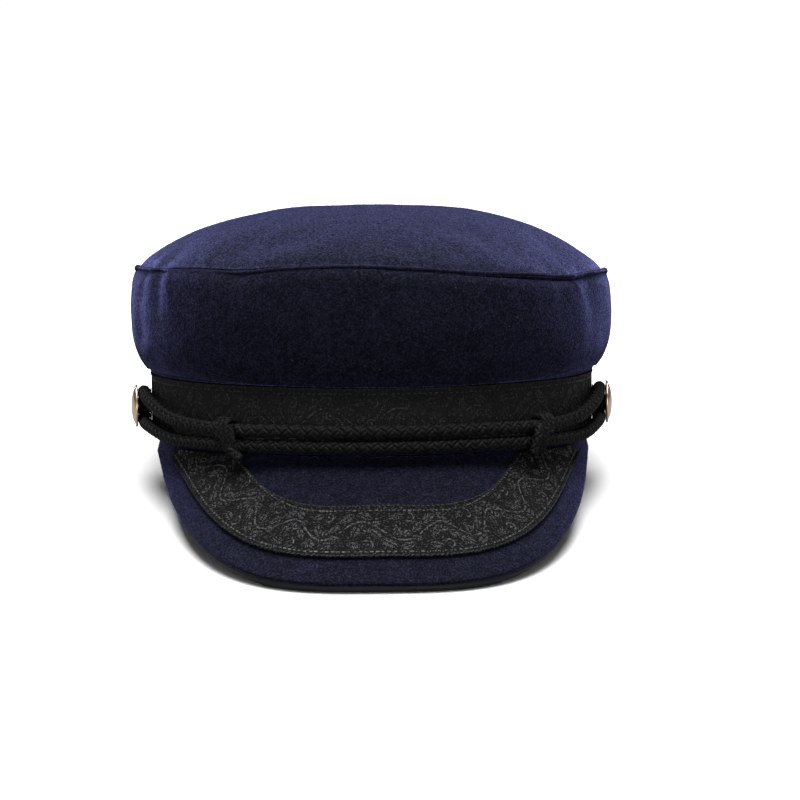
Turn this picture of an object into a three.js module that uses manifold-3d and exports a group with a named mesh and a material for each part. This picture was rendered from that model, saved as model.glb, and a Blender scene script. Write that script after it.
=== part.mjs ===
// A sailor cap, of the kind that fishermen wear: a soft crown of wool felt, a low headband under a black
// jacquard ribbon, a sloping peak with the same ribbon on it, and a doubled braided cord with two sliding
// knots, held by a gilt button at each side.
// It is modelled as worn, with the headband's lower edge at height 0, the front towards -Y and +Z up. Last of
// all the whole cap is rocked back until it rests as it does on a table, on its peak and on the back of its band.
// Every piece is a closed solid in millimetres.
import * as THREE from "three";
import { mergeVertices } from "three/addons/utils/BufferGeometryUtils.js";
import Module from "manifold-3d";

// The headband and its ribbon
const headWidth = 167; // the hollow that takes a head, from side to side
const headLength = 199; // and from front to back
const bandHeight = 25;
const feltWall = 2.2; // wool felt of the crown and the headband
const ribbonWall = 0.8;
const ribbonWidth = 23; // on the band and on the peak alike
const ribbonTopMargin = 0.5; // felt left bare above the band's ribbon
const gap = 0.3; // between two pieces that are sewn, glued or laid together

// The crown: two side panels under an oval top
const crownFrontHeight = 42.9; // from the band up to the top seam
const crownBackHeight = 36;
const crownBulge = 7.8; // how far the sides swell out past the ribbon
const seamLip = 0.5; // the side panels' top edge stands this far proud of the oval top
const domeHeight = 25; // the oval top above its seam
const domeFlatness = 2.6; // the dome's profile is (1 - r ^ flatness) ^ shoulder
const domeShoulder = 0.85;
const domeEdgeWall = 1.15; // the dome's wall at its seam, measured level, as a multiple of the felt's
const sideSeamAngle = 83; // degrees round from the front to each side seam

// The peak: felt over a stiff board, sewn on under the band, with the ribbon set in from its edge
const peakSpread = 78; // degrees round from the front to each end of the peak
const peakReach = 41; // how far the edge stands out in front of the ribbon
const peakDrop = 40.6; // the edge's depth below the band's lower edge, in front
const peakEndDepth = 5; // the peak's depth at its two ends, where it hugs the band
const peakSquareness = 3.3; // 2 gives the edge an elliptical plan, and more squares its corners
const peakTaper = 0.18; // how much narrower the peak is in front than at its ends, as a share
const peakFan = 0.45; // how evenly the peak fans out from the band, from 0 to 1
const peakCrown = 1.2; // the peak is slightly rounded from the band to the edge
const coverWall = 1.8;
const boardWall = 3;
const boardLip = 0.5; // the board's edge stands this far past the felt's
const ribbonInset = 10.6; // bare felt between the ribbon and the peak's edge, in front
const insetTaper = 0.3; // and how much less there is at the peak's ends, as a share

// The cord, its knots and the buttons that hold it
const cordDiameter = 4.8;
const cordClear = 0.5; // the cord's least distance from the ribbon
const cordHeight = 6; // the middle of the doubled cord above the band's lower edge, in front
const leftKnotAlong = 54.5; // from the front to each knot, along the band
const rightKnotAlong = 61.5;
const knotHeight = 5.8;
const knotHold = 7; // the cords lie straight for this far on both sides of a knot's middle
const knotWrap = 1.6; // thickness of the tightened turns of a knot
const knotTurns = 3.2;
const knotLean = 0.3; // how far a knot leans, per millimetre of height
const knotSquareness = 2.6; // 2 gives elliptical turns, and more squares them
const buttonAngle = 85; // degrees round from the front to each button
const buttonHeight = 11.5; // its centre above the band's lower edge
const buttonDiameter = 16.6;
const buttonPlate = 2.1;
const buttonRim = 1.6; // width of the raised rim
const buttonRimRise = 0.5;
const buttonRound = 0.6; // its corners are rounded by this much
const shankDiameter = 8;
const cordLoopClear = 0.4; // between the cord and the shank that it goes round
const cordLoopTurn = 75; // degrees of the loop on each side of its far point

// How firmly the felt is pressed flat where the cap rests
const backPress = 1;
const frontPress = 0.7;

// How finely the surfaces are divided
const ringSteps = 72; // round the whole oval
const peakSteps = 48; // from end to end of the peak
const cordSides = 8;
const cordSteps = 56;
const knotSides = 6;
const knotStepsPerTurn = 16;
const buttonSides = 24;

// Widths and places that follow
const outsideBand = ribbonWall + gap; // from the ribbon's outer face in to the headband
const halfWidth = headWidth / 2 + feltWall + outsideBand; // of the oval of the ribbon's outer face
const halfLength = headLength / 2 + feltWall + outsideBand;
const seamHeight = (crownFrontHeight + crownBackHeight) / 2;
const ribbonTop = bandHeight - ribbonTopMargin;
const ribbonFoot = ribbonTop - ribbonWidth;
const peakRoot = outsideBand + feltWall / 2; // the peak is sewn on under the middle of the band's wall
const cordRadius = cordDiameter / 2;
const degrees = Math.PI / 180;

// The side panels' profile, from the band up to the seam: shares of the height and of the bulge
const sideProfile = [
  { up: 0.0, out: 0.0 },
  { up: 0.08, out: 0.38 },
  { up: 0.17, out: 0.68 },
  { up: 0.29, out: 0.88 },
  { up: 0.42, out: 0.97 },
  { up: 0.6, out: 1.0 },
  { up: 0.8, out: 0.94 },
  { up: 1.0, out: 0.8 },
];

// Soft dents in the sides: degrees round from the front, share of the height, and their spread and depth,
// the depth as a share of the bulge
const sideDents = [
  { at: 64, up: 0.9, wide: 7, tall: 0.35, deep: 0.16 },
  { at: 44, up: 0.75, wide: 10, tall: 0.4, deep: 0.1 },
  { at: -30, up: 0.95, wide: 9, tall: 0.3, deep: 0.09 },
  { at: -70, up: 0.85, wide: 7, tall: 0.4, deep: 0.14 },
  { at: -128, up: 0.8, wide: 12, tall: 0.5, deep: 0.14 },
  { at: 150, up: 0.75, wide: 14, tall: 0.5, deep: 0.12 },
];

// The crown slumps where it stands loosest: degrees round from the front, how far round that reaches, and
// how deep, as a share of the crown's height in front
const slumps = [
  { at: 44, wide: 27, deep: 0.07 },
  { at: 172, wide: 40, deep: 0.05 },
];

// Rows of the oval top's dome, as shares of the way from its middle to the seam
const domeRings = [0, 0.25, 0.45, 0.62, 0.76, 0.87, 0.94, 0.98, 1];

// The oval of the ribbon's outer face, with angles from the front round towards +X
const oval = new THREE.EllipseCurve(0, 0, halfWidth, halfLength, -90 * degrees, 270 * degrees);
oval.arcLengthDivisions = 720;

function ovalPoint(angle, out) {
  const across = Math.sin(angle);
  const ahead = Math.cos(angle);
  const long = Math.hypot(halfLength * across, halfWidth * ahead);
  return [
    halfWidth * across + (out * halfLength * across) / long,
    -halfLength * ahead - (out * halfWidth * ahead) / long,
  ];
}

// A place on the ribbon: millimetres along it from the front, height, and distance out from it
function bandPlace(along, up, out) {
  const angle = 2 * Math.PI * oval.getUtoTmapping(0, Math.abs(along));
  const [x, y] = ovalPoint(angle, out);
  return new THREE.Vector3(along < 0 ? -x : x, y, up);
}

function distanceAlongBand(angle) {
  return oval.getLengths()[Math.round((angle / 360) * oval.arcLengthDivisions)];
}

// A closed solid between two grids of points, outer[row][column] and inner[row][column]. The rows go round
// the cap towards +X, or close on themselves, and the columns go up or inwards. A column may end in one point.
function solidBetween(outer, inner, closed) {
  const rows = outer.length;
  const columns = outer[0].length;
  const positions = [];
  const corner = (p) => p.map((value) => Math.fround(value)).join();
  const triangle = (a, b, c) => {
    if (new Set([corner(a), corner(b), corner(c)]).size === 3) positions.push(...a, ...b, ...c);
  };
  const quad = (a, b, c, d) => {
    triangle(a, b, c);
    triangle(a, c, d);
  };
  const last = closed ? rows : rows - 1;
  for (let i = 0; i < last; i += 1) {
    const j = (i + 1) % rows;
    for (let k = 0; k < columns - 1; k += 1) {
      quad(outer[i][k], outer[j][k], outer[j][k + 1], outer[i][k + 1]);
      quad(inner[i][k], inner[i][k + 1], inner[j][k + 1], inner[j][k]);
    }
    quad(outer[i][0], inner[i][0], inner[j][0], outer[j][0]);
    const top = columns - 1;
    const meets = corner(outer[i][top]) === corner(outer[j][top]);
    if (!meets) quad(outer[i][top], outer[j][top], inner[j][top], inner[i][top]);
  }
  if (!closed) {
    for (let k = 0; k < columns - 1; k += 1) {
      quad(outer[0][k], outer[0][k + 1], inner[0][k + 1], inner[0][k]);
      const end = rows - 1;
      quad(outer[end][k], inner[end][k], inner[end][k + 1], outer[end][k + 1]);
    }
  }
  const geometry = new THREE.BufferGeometry();
  geometry.setAttribute("position", new THREE.Float32BufferAttribute(positions, 3));
  return geometry;
}

function gridOf(rowValues, columnValues, place) {
  return rowValues.map((row) => columnValues.map((column) => place(row, column)));
}

function steps(from, to, count) {
  return Array.from({ length: count + 1 }, (_, i) => from + ((to - from) * i) / count);
}

const wholeRing = steps(0, 2 * Math.PI, ringSteps).slice(0, -1);

// Booleans, done by manifold-3d
const wasm = await Module();
wasm.setup();

function manifoldOf(geometry) {
  const bare = geometry.index ? geometry.toNonIndexed() : geometry.clone();
  bare.deleteAttribute("normal");
  bare.deleteAttribute("uv");
  const merged = mergeVertices(bare, 1e-3);
  return new wasm.Manifold(
    new wasm.Mesh({
      numProp: 3,
      vertProperties: merged.attributes.position.array,
      triVerts: new Uint32Array(merged.index.array),
    }),
  );
}

function geometryOf(manifold) {
  const mesh = manifold.getMesh();
  const geometry = new THREE.BufferGeometry();
  geometry.setAttribute("position", new THREE.BufferAttribute(mesh.vertProperties, 3));
  geometry.setIndex(new THREE.BufferAttribute(mesh.triVerts, 1));
  return geometry;
}

function cut(geometry, tool) {
  return geometryOf(manifoldOf(geometry).subtract(manifoldOf(tool)));
}

// The headband, and the ribbon round it
function ringWall(foot, top, outerOut, wall) {
  const at = (out) => (angle, up) => [...ovalPoint(angle, out), up];
  const heights = [foot, top];
  return solidBetween(
    gridOf(wholeRing, heights, at(outerOut)),
    gridOf(wholeRing, heights, at(outerOut - wall)),
    true,
  );
}

const headbandRaw = ringWall(0, bandHeight, -outsideBand, feltWall);
const bandRibbon = ringWall(ribbonFoot, ribbonTop, 0, ribbonWall);

// The crown
function turnsAway(angle, at) {
  return ((((angle / degrees - at) % 360) + 540) % 360) - 180;
}

function dentAt(angle, up) {
  return sideDents.reduce((sum, dent) => {
    const near = (turnsAway(angle, dent.at) / dent.wide) ** 2 + ((up - dent.up) / dent.tall) ** 2;
    return sum + dent.deep * Math.exp(-near);
  }, 0);
}

// Height above the band of the plane of the top seam, and of the seam itself once it has slumped
function seamPlane(y) {
  return seamHeight - ((crownFrontHeight - crownBackHeight) / 2) * (y / halfLength);
}

function slumpAt(angle) {
  return slumps.reduce((sum, slump) => {
    const near = (turnsAway(angle, slump.at) / slump.wide) ** 2;
    return sum + crownFrontHeight * slump.deep * Math.exp(-near);
  }, 0);
}

// The seam and the foot of a side panel are cut level, and its wall is measured square to its profile
function sidePoint(angle, row, depth) {
  const here = sideProfile[row];
  const before = sideProfile[Math.max(0, row - 1)];
  const after = sideProfile[Math.min(sideProfile.length - 1, row + 1)];
  const height = seamPlane(ovalPoint(angle, 0)[1]) - slumpAt(angle);
  const rise = (after.up - before.up) * height;
  const spread = (after.out - before.out) * crownBulge;
  const slant = Math.hypot(rise, spread);
  const level = row === 0 || row === sideProfile.length - 1;
  const inward = level ? (depth * slant) / rise : (depth * rise) / slant;
  const upward = level ? 0 : (depth * spread) / slant;
  const out = crownBulge * (here.out - dentAt(angle, here.up)) - inward;
  const [x, y] = ovalPoint(angle, out);
  return [x, y, bandHeight + gap + (height - gap) * here.up + upward];
}

function sidePanel(fromAngle, toAngle) {
  const count = Math.round((ringSteps * (toAngle - fromAngle)) / 360);
  const trim = (gap / 2 / (halfWidth + crownBulge)) / degrees;
  const angles = steps((fromAngle + trim) * degrees, (toAngle - trim) * degrees, count);
  const profileRows = sideProfile.map((_, row) => row);
  return solidBetween(
    gridOf(angles, profileRows, (angle, row) => sidePoint(angle, row, 0)),
    gridOf(angles, profileRows, (angle, row) => sidePoint(angle, row, feltWall)),
    false,
  );
}

// The top sits on the side panels' upper edge. Its inner face is the same dome, one wall smaller.
function topPoint(angle, share, depth) {
  const edge = sideProfile[sideProfile.length - 1].out;
  const out = crownBulge * (edge - dentAt(angle, 1)) - seamLip - depth * domeEdgeWall;
  const [x, y] = ovalPoint(angle, out).map((value) => value * share);
  const dome = (domeHeight - depth) * (1 - share ** domeFlatness) ** domeShoulder;
  return [x, y, bandHeight + gap + seamPlane(y) - slumpAt(angle) * share ** 2 + dome];
}

function ovalTop() {
  const shares = domeRings.toReversed();
  return solidBetween(
    gridOf(wholeRing, shares, (angle, share) => topPoint(angle, share, 0)),
    gridOf(wholeRing, shares, (angle, share) => topPoint(angle, share, feltWall)),
    true,
  );
}

// The peak lies between two rails: its root under the headband's wall, and its edge. A place on it is u,
// from -1 at one end to 1 at the other, and the distance out from the root.
function peakRail(u) {
  const fan = u * (peakFan + (1 - peakFan) * u * u);
  const root = new THREE.Vector3(...ovalPoint(fan * peakSpread * degrees, -peakRoot), -gap);
  const [endX, endY] = ovalPoint(peakSpread * degrees, -outsideBand);
  const turn = (u * Math.PI) / 2;
  const sine = Math.sin(turn);
  const cosine = Math.cos(turn);
  const corner = (Math.abs(sine) ** peakSquareness + cosine ** peakSquareness) ** (-1 / peakSquareness);
  const ahead = cosine * corner;
  const edge = new THREE.Vector3(
    endX * (1 - peakTaper * ahead) * sine * corner,
    endY - (halfLength + peakReach + endY) * ahead,
    -peakEndDepth - (peakDrop - peakEndDepth) * ahead,
  );
  return { root, edge, depth: root.distanceTo(edge) };
}

function peakSurface(u, distance) {
  const { root, edge, depth } = peakRail(u);
  const share = distance / depth;
  const bow = 4 * peakCrown * share * (1 - share) * (1 - u * u);
  return root.clone().lerp(edge, share).add(new THREE.Vector3(0, 0, bow));
}

function peakNormal(u, distance) {
  const du = 0.01;
  const along = peakSurface(Math.min(1, u + du), distance).sub(peakSurface(Math.max(-1, u - du), distance));
  const outward = peakSurface(u, distance + 1).sub(peakSurface(u, distance - 1));
  return outward.cross(along).normalize();
}

// One layer of the peak. Each column gives a distance from the root for u. The layer's upper face is top
// below the peak's face, and wall is its thickness.
function peakLayer(us, columns, top, wall) {
  const at = (below) => (u, column) =>
    peakSurface(u, column(u)).addScaledVector(peakNormal(u, column(u)), -below).toArray();
  return solidBetween(gridOf(us, columns, at(top)), gridOf(us, columns, at(top + wall)), false);
}

const ribbonStart = peakRoot + gap;
const feltEdge = (u) => peakRail(u).depth;
const boardEdge = (u) => feltEdge(u) + boardLip;
const ribbonEdge = (u) => feltEdge(u) - ribbonInset * (1 - insetTaper * u * u);
const ribbonOuter = (u) => Math.max(ribbonStart, ribbonEdge(u));
const ribbonInner = (u) => Math.max(ribbonStart, ribbonEdge(u) - ribbonWidth);
const atRoot = () => 0;

const peakUs = steps(-1, 1, peakSteps);
const ribbonUs = peakUs.filter((u) => ribbonOuter(u) > ribbonStart + ribbonWidth / 8);
const cover = peakLayer(peakUs, [feltEdge, ribbonOuter, ribbonInner, atRoot], 0, coverWall);
const board = peakLayer(peakUs, [boardEdge, ribbonOuter, ribbonInner, atRoot], coverWall + gap, boardWall);
const peakRibbon = peakLayer(ribbonUs, [ribbonOuter, ribbonInner], -gap - ribbonWall, ribbonWall);

// The table that the cap rests on, as a line in the YZ plane of the worn cap: it touches the headband's
// back and the front of the peak's board, and presses each a little flat
const boardFoot = peakSurface(0, boardEdge(0)).addScaledVector(
  peakNormal(0, boardEdge(0)),
  -(coverWall + gap + boardWall),
);
const backFoot = new THREE.Vector3(0, headLength / 2 + feltWall, 0);
const restTilt = Math.atan2(backFoot.z + backPress - boardFoot.z - frontPress, backFoot.y - boardFoot.y);
const table = new THREE.BoxGeometry(4 * headWidth, 4 * headLength, headLength)
  .translate(0, 0, -headLength / 2)
  .rotateX(restTilt)
  .translate(0, backFoot.y, backFoot.z + backPress);

// The cord's route, in millimetres along the ribbon from the front, height above the band's lower edge, and
// distance of its middle from the ribbon. It lies doubled in front, and opens into a loop round each button.
const buttonAlong = distanceAlongBand(buttonAngle);
const strandApart = cordDiameter + 2 * gap;
const loopRadius = shankDiameter / 2 + cordLoopClear + cordRadius;
const onRibbon = cordRadius + cordClear;
const inKnot = cordRadius + cordClear + knotWrap + gap;
const alongside = strandApart / 2;

// Places on the way from the front to a knot and from the knot to a button, as shares of that way: height of
// the pair's middle, each strand's distance from it, and how far the strand is lifted off the ribbon
const toKnot = [
  { share: 0, up: cordHeight, apart: alongside, lift: 0 },
  { share: 0.35, up: cordHeight, apart: alongside, lift: 0.2 },
  { share: 0.7, up: cordHeight, apart: alongside, lift: 1 },
];
const toButton = [
  { share: 0.4, up: knotHeight + 0.6, apart: alongside + 1, lift: 1 },
  { share: 0.75, up: buttonHeight - 1.7, apart: loopRadius - 0.9, lift: 0 },
];

const knotAlong = (side) => (side > 0 ? rightKnotAlong : leftKnotAlong);

// A strand from the front through a knot to the button behind it
function strand(side, knotPlace) {
  const between = (from, to) => ({ share, up, apart, lift }) => [
    from + (to - from) * share,
    up + side * apart,
    onRibbon + lift,
  ];
  return [
    ...toKnot.map(between(0, knotPlace)),
    ...[-knotHold, 0, knotHold].map((along) => [knotPlace + along, knotHeight + side * alongside, inKnot]),
    ...toButton.map(between(knotPlace, buttonAlong)),
  ];
}

function buttonLoop() {
  return steps(cordLoopTurn, -cordLoopTurn, 5).map((turn) => [
    buttonAlong + loopRadius * Math.cos(turn * degrees),
    buttonHeight + loopRadius * Math.sin(turn * degrees),
    onRibbon,
  ]);
}

// Each cord starts in one knot, runs across the front, goes round the far button and ends in the far knot
function cordRoute(side) {
  const start = knotAlong(-side) - gap / 2;
  const first = strand(side, knotAlong(-side)).filter(([along]) => along > 0 && along < start);
  const there = strand(side, knotAlong(side));
  const loop = side > 0 ? buttonLoop() : buttonLoop().toReversed();
  const end = knotAlong(side) + gap / 2;
  const back = strand(-side, knotAlong(side)).filter(([along]) => along > end + 1);
  const stop = [end, knotHeight - side * alongside, inKnot];
  return [
    [-start, knotHeight + side * alongside, inKnot],
    ...first.map(([along, up, out]) => [-along, up, out]).toReversed(),
    ...there,
    ...loop,
    ...back.toReversed(),
    stop,
  ];
}

function tube(places, radius, sides, count) {
  const round = steps(0, 2 * Math.PI, sides).slice(0, -1);
  const corners = round.map((turn) => new THREE.Vector2(Math.cos(turn), Math.sin(turn)).multiplyScalar(radius));
  const path = new THREE.CatmullRomCurve3(places, false, "centripetal");
  const sweep = { steps: count, bevelEnabled: false, extrudePath: path };
  return new THREE.ExtrudeGeometry(new THREE.Shape(corners), sweep);
}

function cord(side) {
  const places = cordRoute(side).map(([along, up, out]) => bandPlace(side * along, up, out));
  return tube(places, cordRadius, cordSides, cordSteps);
}

// A knot is a few tight turns of cord round both strands, made along X and then set on the band. The knots
// lean towards the front at their foot, so the right one is the left one mirrored
function knot(side) {
  const halfDeep = cordRadius + gap + knotWrap / 2;
  const halfTall = alongside + halfDeep;
  const pitch = knotWrap + gap;
  const squarish = (value) => Math.sign(value) * Math.abs(value) ** (2 / knotSquareness);
  const places = steps(0, knotTurns, Math.round(knotTurns * knotStepsPerTurn)).map((turn) => {
    const tall = squarish(Math.sin(turn * 2 * Math.PI));
    const deep = squarish(Math.cos(turn * 2 * Math.PI));
    const along = pitch * (turn - knotTurns / 2) - knotLean * halfTall * tall;
    return new THREE.Vector3(-side * along, -halfDeep * deep, halfTall * tall);
  });
  return tube(places, knotWrap / 2, knotSides, places.length - 1);
}

// A button is a thin rimmed plate on a short shank, turned about Y
function button() {
  const radius = buttonDiameter / 2;
  const back = 2 * cordClear + cordDiameter - gap;
  const face = back + buttonPlate;
  const profile = [
    [0, gap],
    [shankDiameter / 2, gap],
    [shankDiameter / 2, back],
    [radius - buttonRound, back],
    [radius, back + buttonRound],
    [radius, face - buttonRound],
    [radius - buttonRound, face],
    [radius - buttonRim + buttonRound / 2, face],
    [radius - buttonRim, face - buttonRimRise],
    [radius / 2, face - buttonRimRise / 2],
    [0, face],
  ].map(([across, up]) => new THREE.Vector2(across, up));
  return new THREE.LatheGeometry(profile, buttonSides);
}

// The finishes
const finish = (color, roughness, metalness) =>
  new THREE.MeshStandardMaterial({ color, roughness, metalness });
const navyFelt = finish(0x1c1e38, 0.95, 0);
const blackRibbon = finish(0x161616, 0.6, 0);
const darkLining = finish(0x2c2c30, 0.8, 0);
const blackCord = finish(0x131314, 0.75, 0);
const gilt = finish(0xd9b98c, 0.25, 1);

const cap = new THREE.Group();

function add(name, geometry, material) {
  const mesh = new THREE.Mesh(geometry, material);
  mesh.name = name;
  cap.add(mesh);
  return mesh;
}

add("headband", cut(headbandRaw, table), navyFelt);
add("band_ribbon", cut(bandRibbon, table), blackRibbon);
add("crown_front", sidePanel(-sideSeamAngle, sideSeamAngle), navyFelt);
add("crown_back", sidePanel(sideSeamAngle, 360 - sideSeamAngle), navyFelt);
add("crown_top", ovalTop(), navyFelt);
add("peak_cover", cover, navyFelt);
add("peak_board", cut(board, table), darkLining);
add("peak_ribbon", peakRibbon, blackRibbon);
add("cord_upper", cord(1), blackCord);
add("cord_lower", cord(-1), blackCord);

for (const [side, name] of [[-1, "left"], [1, "right"]]) {
  const knotMesh = add(`knot_${name}`, knot(side), blackCord);
  const place = bandPlace(side * knotAlong(side), knotHeight, inKnot);
  const ahead = bandPlace(side * (knotAlong(side) + 1), knotHeight, inKnot).sub(place).multiplyScalar(side);
  knotMesh.position.copy(place);
  knotMesh.rotation.z = Math.atan2(ahead.y, ahead.x);

  const buttonMesh = add(`button_${name}`, button(), gilt);
  const seat = bandPlace(side * buttonAlong, buttonHeight, 0);
  const outward = bandPlace(side * buttonAlong, buttonHeight, 1).sub(seat);
  buttonMesh.position.copy(seat);
  buttonMesh.quaternion.setFromUnitVectors(new THREE.Vector3(0, 1, 0), outward.normalize());
}

// Rock the cap back onto its peak, and set the middle of its underside at the origin
const part = new THREE.Group();
cap.rotation.x = -restTilt;
part.add(cap);
const bounds = new THREE.Box3().setFromObject(part, true);
const middle = bounds.getCenter(new THREE.Vector3());
cap.position.set(-middle.x, -middle.y, -bounds.min.z);

export default part;
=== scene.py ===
# %% [markdown]
# A sailor cap, dressed over its frame
# The frame holds the cap's pieces at their real size: headband, crown, peak, ribbons, cords, knots and
# buttons, all smooth and plain. Each is replaced here by a piece with the surface of the real one: brushed
# wool felt, jacquard ribbon, braided cord or gilt. The pieces keep the frame's places.

# %% Load the frame
import math
from contextlib import contextmanager
from functools import partialmethod, reduce

import bpy
import numpy as np
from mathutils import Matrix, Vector, noise


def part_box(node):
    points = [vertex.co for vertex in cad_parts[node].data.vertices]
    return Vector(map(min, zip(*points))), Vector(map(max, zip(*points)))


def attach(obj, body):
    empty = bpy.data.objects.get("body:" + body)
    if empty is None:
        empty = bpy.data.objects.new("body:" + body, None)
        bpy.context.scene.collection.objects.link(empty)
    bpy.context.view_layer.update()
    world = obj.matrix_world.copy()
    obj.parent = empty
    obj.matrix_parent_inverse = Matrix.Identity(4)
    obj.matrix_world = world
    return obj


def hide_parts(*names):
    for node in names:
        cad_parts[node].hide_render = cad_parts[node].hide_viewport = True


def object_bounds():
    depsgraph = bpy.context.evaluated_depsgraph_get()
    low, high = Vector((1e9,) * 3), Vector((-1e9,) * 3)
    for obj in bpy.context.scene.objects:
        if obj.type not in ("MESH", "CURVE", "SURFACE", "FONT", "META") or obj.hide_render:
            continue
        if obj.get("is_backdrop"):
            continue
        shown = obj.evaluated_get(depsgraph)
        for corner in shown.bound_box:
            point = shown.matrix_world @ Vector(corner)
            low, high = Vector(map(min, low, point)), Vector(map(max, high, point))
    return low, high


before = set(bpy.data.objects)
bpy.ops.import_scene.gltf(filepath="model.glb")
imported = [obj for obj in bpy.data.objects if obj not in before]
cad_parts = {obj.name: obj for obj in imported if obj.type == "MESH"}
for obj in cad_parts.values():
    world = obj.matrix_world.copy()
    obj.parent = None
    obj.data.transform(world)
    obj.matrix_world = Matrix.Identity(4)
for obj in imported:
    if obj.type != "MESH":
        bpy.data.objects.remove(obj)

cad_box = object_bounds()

MM = 0.001
print("frame:", ", ".join(sorted(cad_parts)))

# %% [markdown]
# The band's own axes
# The cap is rocked back on its peak, so the headband stands tilted in the frame. Sewing follows the band
# and not the table, so it helps to have the band's axes: x across, y to the back, z square to its rim.
# The ribbon round the band gives them. Its highest corner is in front and its rearmost one at the back, and
# both lie on its upper rim, so they give the tilt, the length and the middle at once.

# %% The band's axes
RIBBON_TOP = 24.5 * MM  # the ribbon's upper rim above the band's lower edge
band_corners = np.array([vertex.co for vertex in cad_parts["band_ribbon"].data.vertices])
rim_front = band_corners[band_corners[:, 2].argmax()]
rim_back = band_corners[band_corners[:, 1].argmax()]
HALF_LENGTH = np.linalg.norm(rim_back - rim_front) / 2
HALF_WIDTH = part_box("band_ribbon")[1].x
backward = (rim_back - rim_front) / (2 * HALF_LENGTH)
upward = np.array([0, -backward[2], backward[1]])
band_middle = (rim_front + rim_back) / 2 - RIBBON_TOP * upward
print(f"band oval {2 * HALF_WIDTH / MM:.1f} x {2 * HALF_LENGTH / MM:.1f} mm,",
      f"tilted {math.degrees(math.asin(upward[1])):.1f} degrees")


def at_rest(x, y, z):
    """Places in the band's axes, given in the frame's."""
    x, y, z = (value[..., None] for value in np.broadcast_arrays(x, y, z))
    return band_middle + x * np.array([1, 0, 0]) + y * backward + z * upward


def as_worn(points):
    """Places in the frame's axes, given in the band's."""
    away = points - band_middle
    return away[..., 0], away @ backward, away @ upward


def oval(angle, out=0.0):
    """A place on the oval of the ribbon's face, or out from it. Angles run from the front towards +X."""
    across, ahead = np.sin(angle), np.cos(angle)
    long = np.hypot(HALF_LENGTH * across, HALF_WIDTH * ahead)
    return (
        HALF_WIDTH * across + out * HALF_LENGTH * across / long,
        -HALF_LENGTH * ahead - out * HALF_WIDTH * ahead / long,
    )


def unit(vectors):
    return vectors / np.linalg.norm(vectors, axis=-1)[..., None]


def arc_of(line):
    """The distance along a line up to each of its points."""
    return np.concatenate([[0], np.cumsum(np.linalg.norm(np.diff(line, axis=0), axis=1))])


def at_arc(line, arc, wanted):
    """The places on a line at the wanted distances along it."""
    return np.stack([np.interp(wanted, arc, line[:, axis]) for axis in range(3)], axis=1)


OVAL_STEPS = 2880
fine_angles = np.linspace(0, 2 * math.pi, OVAL_STEPS + 1)
fine_arc = arc_of(np.stack(oval(fine_angles), axis=1))
ROUND = fine_arc[-1]
print(f"round the ribbon {ROUND / MM:.0f} mm")


def angle_at(along):
    """The oval's angle at a distance along the ribbon from the front, which is negative to the left."""
    return np.sign(along) * np.interp(np.abs(along), fine_arc, fine_angles)


def angle_of(x, y):
    """The oval's angle of a place that is given in the band's axes, from 0 to a whole turn."""
    return np.arctan2(x / HALF_WIDTH, -y / HALF_LENGTH) % (2 * math.pi)


def on_band(along, up, out):
    """A place by its distance along the ribbon, its height above the band's lower edge and its lift."""
    along, up, out = np.broadcast_arrays(along, up, out)
    x, y = oval(angle_at(along), out)
    return at_rest(x, y, up)


# %% [markdown]
# The camera and the light
# The cap is photographed from the front and a little above, through a long lens from about a metre. One
# broad light hangs above and a little behind it, so the oval top is bright, the front lies in its own shade
# and a soft shadow lies under the peak. A weak light in front opens that shade a little.

# %% Camera
CAMERA_AZIMUTH = math.radians(-1.5)
CAMERA_HEIGHT = math.radians(14.4)
CAMERA_DISTANCE = 1.1
AIM = np.array([0.0, 0.0, 0.045])
LENS = 127.5
SENSOR_WIDTH = 36
AIM_RIGHT = 10.5 * MM  # the picture's middle lies this far to the right of that point
AIM_DOWN = 10.5 * MM  # and this far below it

level_back = np.array([math.sin(CAMERA_AZIMUTH), -math.cos(CAMERA_AZIMUTH), 0])
away = level_back * math.cos(CAMERA_HEIGHT) + np.array([0, 0, math.sin(CAMERA_HEIGHT)])
right = np.array([math.cos(CAMERA_AZIMUTH), math.sin(CAMERA_AZIMUTH), 0])
place = AIM + CAMERA_DISTANCE * away
target = AIM + AIM_RIGHT * right - AIM_DOWN * np.cross(away, right)
camera = bpy.data.objects.new("camera", bpy.data.cameras.new("camera"))
bpy.context.scene.collection.objects.link(camera)
camera.location = place
camera.rotation_euler = Vector(place - target).to_track_quat("Z", "Y").to_euler()
camera.data.lens = LENS
camera.data.sensor_width = SENSOR_WIDTH
camera.data.clip_end = 20
bpy.context.scene.camera = camera
print("camera", [round(float(value), 3) for value in camera.location])

# %% Light
bpy.context.scene.view_settings.view_transform = "Standard"
LIT_PLACE = (0, 0, 0.05)


def soft_light(name, location, wide, tall, watts):
    """A soft light that faces the cap, with its size in metres."""
    lamp = bpy.data.objects.new(name, bpy.data.lights.new(name, "AREA"))
    bpy.context.scene.collection.objects.link(lamp)
    lamp.location = location
    from_cap = Vector(location) - Vector(LIT_PLACE)
    lamp.rotation_euler = from_cap.to_track_quat("Z", "Y").to_euler()
    lamp.data.shape = "RECTANGLE"
    lamp.data.size = wide
    lamp.data.size_y = tall
    lamp.data.energy = watts
    print(f"{name}: {wide} x {tall} m, {watts} W")


soft_light("key_light", (-0.02, 0.2, 1.5), wide=1.3, tall=1.6, watts=70)
soft_light("front_light", (0, -1.6, 0.4), wide=0.8, tall=0.8, watts=5.5)

# %% [markdown]
# Shaders as sums
# A finish is written as sums on values that change over the surface. The first class below wraps a socket
# of the shader, so that a sum on it adds the Math nodes. The second one is a material: it makes every other
# node by one method, and can lay a second shader over its first one.

# %% Shader helper


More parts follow.
